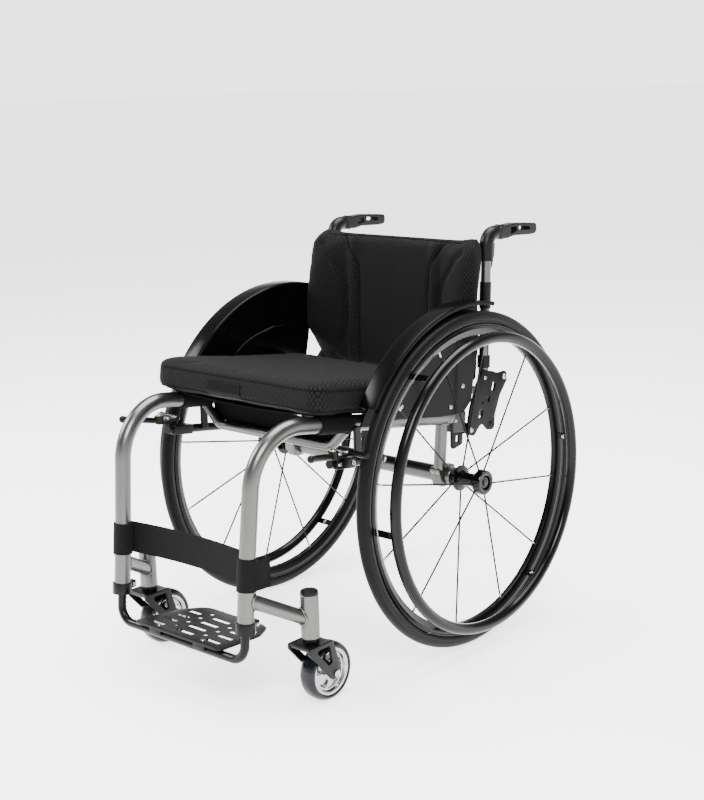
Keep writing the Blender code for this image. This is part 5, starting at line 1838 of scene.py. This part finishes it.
@dataclass
class PushHandle:
    """The plastic elbow on top of a cane, and the skeletal grip that folds down from it."""

    side: Side
    back: BackFrame
    hinge: Vector = field(default_factory=lambda: Vector((0.1880, 0.1670, 0.7314)))
    length: float = 0.1070

    def _elbow(self) -> None:
        """Build the elbow with its hinge disc and the trigger under it."""
        label, pivot = self.side.label, self.side.at(self.hinge)
        lean = self.back.lean
        top = self.side.at(self.back.top)
        low = top - lean * 0.0170
        corner = Vector((pivot.x, low.y + 0.0020, pivot.z))
        shell = Form.tube(bend([low, corner, pivot], [0.0220], 14), 0.0132, 36)
        trims = [
            Form.block((pivot.x + hand * 0.0165, pivot.y + 0.003, pivot.z), (0.0200, 0.0360, 0.0400))
            for hand in (-1, 1)
        ]
        shell = shell.carved(*trims)
        out = Vector((0.0064, 0, 0))
        disc = Form.rod(pivot - out, pivot + out, 0.0138, 40).softened(0.0010, 2, 60)
        fin = rounded(
            [(0.1365, 0.7180), (0.1500, 0.7140), (0.1470, 0.6900), (0.1390, 0.6680), (0.1350, 0.6680)],
            [0.002, 0.004, 0.010, 0.003, 0.001],
            5,
        )
        trigger = Form.plate(fin, pivot.x - 0.0036, pivot.x + 0.0036).softened(0.0009, 2)
        shell = shell.fused(disc).fused(trigger)
        bore = Form.rod(self.side.at(self.back.foot), top + lean * 0.0003, self.back.cane + 0.0003, 32)
        made = shell.carved(bore)
        made.piece(f"elbow_{label}", "plastic", "backrest", [f"handle_elbow_{label}"])
        heads = [Form.screw(pivot + out * hand, out * hand, 0.0042, 0.0020) for hand in (-1, 1)]
        Form().with_forms(*heads).piece(f"hinge_pin_{label}", "steel", "backrest")

    def _grip(self) -> None:
        """Build the grip with its windows and the throat that clears the elbow."""
        label, pivot = self.side.label, self.side.at(self.hinge)
        tip = self.length
        outline = rounded(
            [
                (-0.0120, 0.0110), (0.0400, 0.0130), (tip, 0.0070), (tip, -0.0120),
                (tip - 0.0200, -0.0130), (0.0350, -0.0100), (0.0120, -0.0130), (-0.0120, -0.0110),
            ],
            [0.011, 0.02, 0.006, 0.008, 0.01, 0.02, 0.006, 0.010],
            8,
        )
        windows = [
            rounded(
                [(0.0220, 0.0070), (0.0400, 0.0070), (0.0420, -0.0020), (0.0220, -0.0060)], [0.002] * 4, 5
            ),
            rounded(
                [(0.0480, 0.0070), (0.0820, 0.0030), (0.0860, -0.0030), (0.0480, -0.0010)], [0.002] * 4, 5
            ),
        ]
        grip = Form.plate(outline, -0.0108, 0.0108).softened(0.0026, 4, 50)
        grip = grip.carved(*[Form.plate(shape, -0.02, 0.02) for shape in windows])
        clearance = Form.rod((-0.0070, 0, 0), (0.0070, 0, 0), 0.0146, 36)
        throat = Form.block((0, -0.0060, 0), (0.0140, 0.0160, 0.0300))
        underside = Form.block((0, 0.0005, -0.0090), (0.0140, 0.0290, 0.0184))
        made = grip.carved(clearance).carved(throat).carved(underside).moved(Matrix.Translation(pivot))
        made.piece(f"push_grip_{label}", "plastic", f"grip_{label}", [f"grip_{label}"])

    def build(self) -> None:
        """Build the elbow and the grip."""
        self._elbow()
        self._grip()


# ---------------------------------------------------------------- brakes


@dataclass
class Brake:
    """A compact scissor brake: clamp and tube, thumb lever, and the arm that meets the tyre."""

    side: Side
    side_frame: SideFrame
    pivot: Vector = field(default_factory=lambda: Vector((0.2144, -0.3304, 0.4216)))
    arm_pivot: Vector = field(default_factory=lambda: Vector((0.2120, -0.2940, 0.4108)))
    tube: float = 0.0078
    hanger_y: float = -0.2430
    mount_x: float = 0.1995
    mount_y: float = -0.2930
    mount_z: float = 0.3956

    def _mount(self) -> None:
        """Build the clamp, its hanger and the tube, with a bright stub at the tube's end."""
        label, out = self.side.label, self.side.value
        front = self.side.at((self.mount_x, -0.3250, self.mount_z + 0.0045))
        rear = self.side.at((self.mount_x, -0.1880, self.mount_z - 0.0150))
        tube = Form.rod(front, rear.lerp(front, 0.04), self.tube, 32).softened(0.0008, 2, 60)
        middle = (out * self.mount_x, self.mount_y, self.mount_z)
        clamp = Form.block(middle, (0.0200, 0.0460, 0.0180), self.side_frame.rail_tilt).softened(0.0022, 3)
        hanger = Form.block((out * 0.1895, self.hanger_y, 0.4170), (0.0060, 0.0150, 0.0580)).softened(
            0.0012, 2
        )
        rail = Form.tube(self.side_frame.path(self.side), 0.0169, 36)
        made = tube.fused(clamp).fused(hanger).carved(rail)
        made.piece(f"brake_clamp_{label}", "black", "frame", [f"brake_mount_{label}"])
        stub = Form.rod(rear.lerp(front, 0.10), rear, self.tube - 0.0012, 32).softened(0.0008, 2, 60)
        stub.piece(f"brake_stub_{label}", "steel", "frame")
        face = self.mount_x + 0.0100
        screws = [
            Form.screw(self.side.at((face, y, z)), (out, 0, 0), 0.0040, 0.0026)
            for y, z in ((-0.3100, 0.3984), (-0.2760, 0.3936))
        ]
        Form().with_forms(*screws).piece(f"brake_clamp_screws_{label}", "steel", "frame")

    def _lever(self) -> None:
        """Build the thumb lever with its ball end and pivot screw."""
        label, pivot = self.side.label, self.side.at(self.pivot)
        reach = self.side.at((0.0172, -0.0696, 0.0090))
        made = Form.tube([pivot - UP * 0.0050 + reach * 0.02, pivot + reach], 0.0056, 28)
        made = made.fused(Form.ball(pivot + reach * 1.01, 0.0066))
        made = made.fused(
            Form.rod(pivot - UP * 0.0090, pivot + UP * 0.0040, 0.0090, 32).softened(0.0009, 2, 60)
        )
        made.piece(f"lever_{label}", "black", f"brake_lever_{label}", [f"brake_lever_{label}"])
        washer = Form.rod(pivot + UP * 0.0040, pivot + UP * 0.0050, 0.0062, 32)
        washer.piece(f"lever_washer_{label}", "brass", f"brake_lever_{label}")
        head = Form.screw(pivot + UP * 0.0050, UP, 0.0052, 0.0030)
        head.piece(f"lever_screw_{label}", "steel", f"brake_lever_{label}")

    def _arm(self) -> None:
        """Build the arm with the roller that presses on the tyre."""
        label, pivot = self.side.label, self.side.at(self.arm_pivot)
        out = self.side.value
        corners = [
            (pivot.x - out * 0.0070, pivot.y - 0.0440), (pivot.x + out * 0.0080, pivot.y - 0.0440),
            (pivot.x + out * 0.0080, pivot.y + 0.0080), (pivot.x - out * 0.0070, pivot.y + 0.0080),
        ]
        link = Form.plate(rounded(corners, [0.006] * 4, 8), pivot.z, pivot.z + 0.0050, Axis.Z).softened(
            0.0008, 2
        )
        pad_y = -0.2912
        start = Vector((pivot.x + out * 0.0040, pad_y, pivot.z + 0.0045))
        end = Vector((out * 0.2560, pad_y, pivot.z + 0.0045))
        roller = Form.rod(start, end, 0.0050, 32).softened(0.0010, 2, 60)
        made = link.fused(roller)
        made.piece(f"brake_link_{label}", "black", f"brake_arm_{label}", [f"brake_arm_{label}"])
        top = pivot.z + 0.0050
        spots = [
            Vector((pivot.x + out * 0.0005, -0.3135, top)), Vector((pivot.x + out * 0.0005, -0.2960, top))
        ]
        washer = Form.rod(spots[0], spots[0] + UP * 0.0008, 0.0056, 32)
        washer.piece(f"brake_washer_{label}", "brass", f"brake_arm_{label}")
        heads = [Form.screw(spot + UP * 0.0006, UP, 0.0046, 0.0030) for spot in spots]
        Form().with_forms(*heads).piece(f"brake_link_screws_{label}", "steel", f"brake_arm_{label}")

    def build(self) -> None:
        """Build the whole brake."""
        self._mount()
        self._lever()
        self._arm()


# ---------------------------------------------------------------- studio


@dataclass
class Studio:
    """A pale floor, soft lights and the camera."""

    azimuth: float = 41.953
    elevation: float = 12.881
    roll: float = -1.637
    lens: float = 64.44
    eye: tuple[float, float, float] = (1.7436, -1.8818, 1.0250)

    def _floor(self) -> None:
        """Lay the plain pale floor."""
        made = Form()
        corners = [(-60, -60, 0), (60, -60, 0), (60, 60, 0), (-60, 60, 0)]
        made.bm.faces.new([made.bm.verts.new(corner) for corner in corners])
        mesh = bpy.data.meshes.new("floor")
        made.bm.to_mesh(mesh)
        made.bm.free()
        floor = bpy.data.objects.new("floor", mesh)
        bpy.context.scene.collection.objects.link(floor)
        paint = Finish("pale_floor", (0.80, 0.80, 0.80), 0.80, grain_depth=0.0, clouding=0.0).made()
        shader = paint.node_tree.nodes["Principled BSDF"]
        shader.inputs["Emission Color"].default_value = (1.0, 1.0, 1.0, 1.0)
        shader.inputs["Emission Strength"].default_value = 2.2
        mesh.materials.append(paint)

    @staticmethod
    def _light(name: str, place: Point, aim: Point, size: float, power: float) -> None:
        """Hang one soft area light.

        Args:
            name: The light's name.
            place: Where it hangs.
            aim: The place that it faces.
            size: The side of its square.
            power: Its power, in watts.
        """
        lamp = bpy.data.lights.new(name, "AREA")
        lamp.size = size
        lamp.energy = power
        made = bpy.data.objects.new(name, lamp)
        made.location = place
        facing = Vector(aim) - Vector(place)
        made.rotation_euler = facing.to_track_quat("-Z", "Y").to_euler()
        bpy.context.scene.collection.objects.link(made)

    def _camera(self) -> None:
        """Place the camera."""
        turn, rise, roll = (math.radians(part) for part in (self.azimuth, self.elevation, self.roll))
        back = Vector((math.sin(turn) * math.cos(rise), -math.cos(turn) * math.cos(rise), math.sin(rise)))
        right = Vector((math.cos(turn), math.sin(turn), 0.0))
        up = back.cross(right)
        right, up = (
            math.cos(roll) * right + math.sin(roll) * up,
            math.cos(roll) * up - math.sin(roll) * right,
        )
        lens = bpy.data.cameras.new("main_camera")
        lens.lens = self.lens
        made = bpy.data.objects.new("main_camera", lens)
        made.matrix_world = Matrix.Translation(self.eye) @ Matrix((right, up, back)).transposed().to_4x4()
        bpy.context.scene.collection.objects.link(made)
        bpy.context.scene.camera = made

    def build(self) -> None:
        """Build the floor, the lights and the camera."""
        self._floor()
        world = bpy.data.worlds.new("pale_room")
        bpy.context.scene.world = world
        world.use_nodes = True
        tree = world.node_tree
        where = tree.nodes.new("ShaderNodeTexCoord")
        parts = tree.nodes.new("ShaderNodeSeparateXYZ")
        fade = tree.nodes.new("ShaderNodeMapRange")
        for label, value in (("From Min", 0.06), ("From Max", 0.32), ("To Min", 3.0), ("To Max", 0.55)):
            fade.inputs[label].default_value = value
        sky = tree.nodes["Background"]
        sky.inputs["Color"].default_value = (1.0, 1.0, 1.0, 1.0)
        tree.links.new(where.outputs["Generated"], parts.inputs[0])
        tree.links.new(parts.outputs["Z"], fade.inputs["Value"])
        tree.links.new(fade.outputs["Result"], sky.inputs["Strength"])
        self._light("key_softbox", (1.9, -2.0, 2.8), (0.0, -0.1, 0.4), 1.5, 190)
        self._light("side_softbox", (-2.4, -1.4, 2.2), (0.0, 0.0, 0.4), 1.3, 150)
        self._light("top_softbox", (0.0, 0.5, 3.2), (0.0, 0.0, 0.4), 2.4, 260)
        self._camera()


# ---------------------------------------------------------------- whole chair


def chair() -> None:
    """Build every piece of the chair, from the frame outward."""
    side_frame = SideFrame()
    side_frame.build()
    AxleFrame(side_frame).build()
    Seat(side_frame).build()
    SideGuards().build()
    CalfStrap(side_frame).build()
    Footrest(side_frame).build()
    back = BackFrame()
    back.build()
    BackPad().build()
    for side in Side:
        RearWheel(side).build()
        Caster(side).build()
        PushHandle(side, back).build()
        Brake(side, side_frame).build()


def main() -> None:
    """Build the chair and the studio."""
    logging.basicConfig(level=logging.INFO, format="%(name)s %(message)s")
    chair()
    Studio().build()
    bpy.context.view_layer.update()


if __name__ == "__main__":
    main()
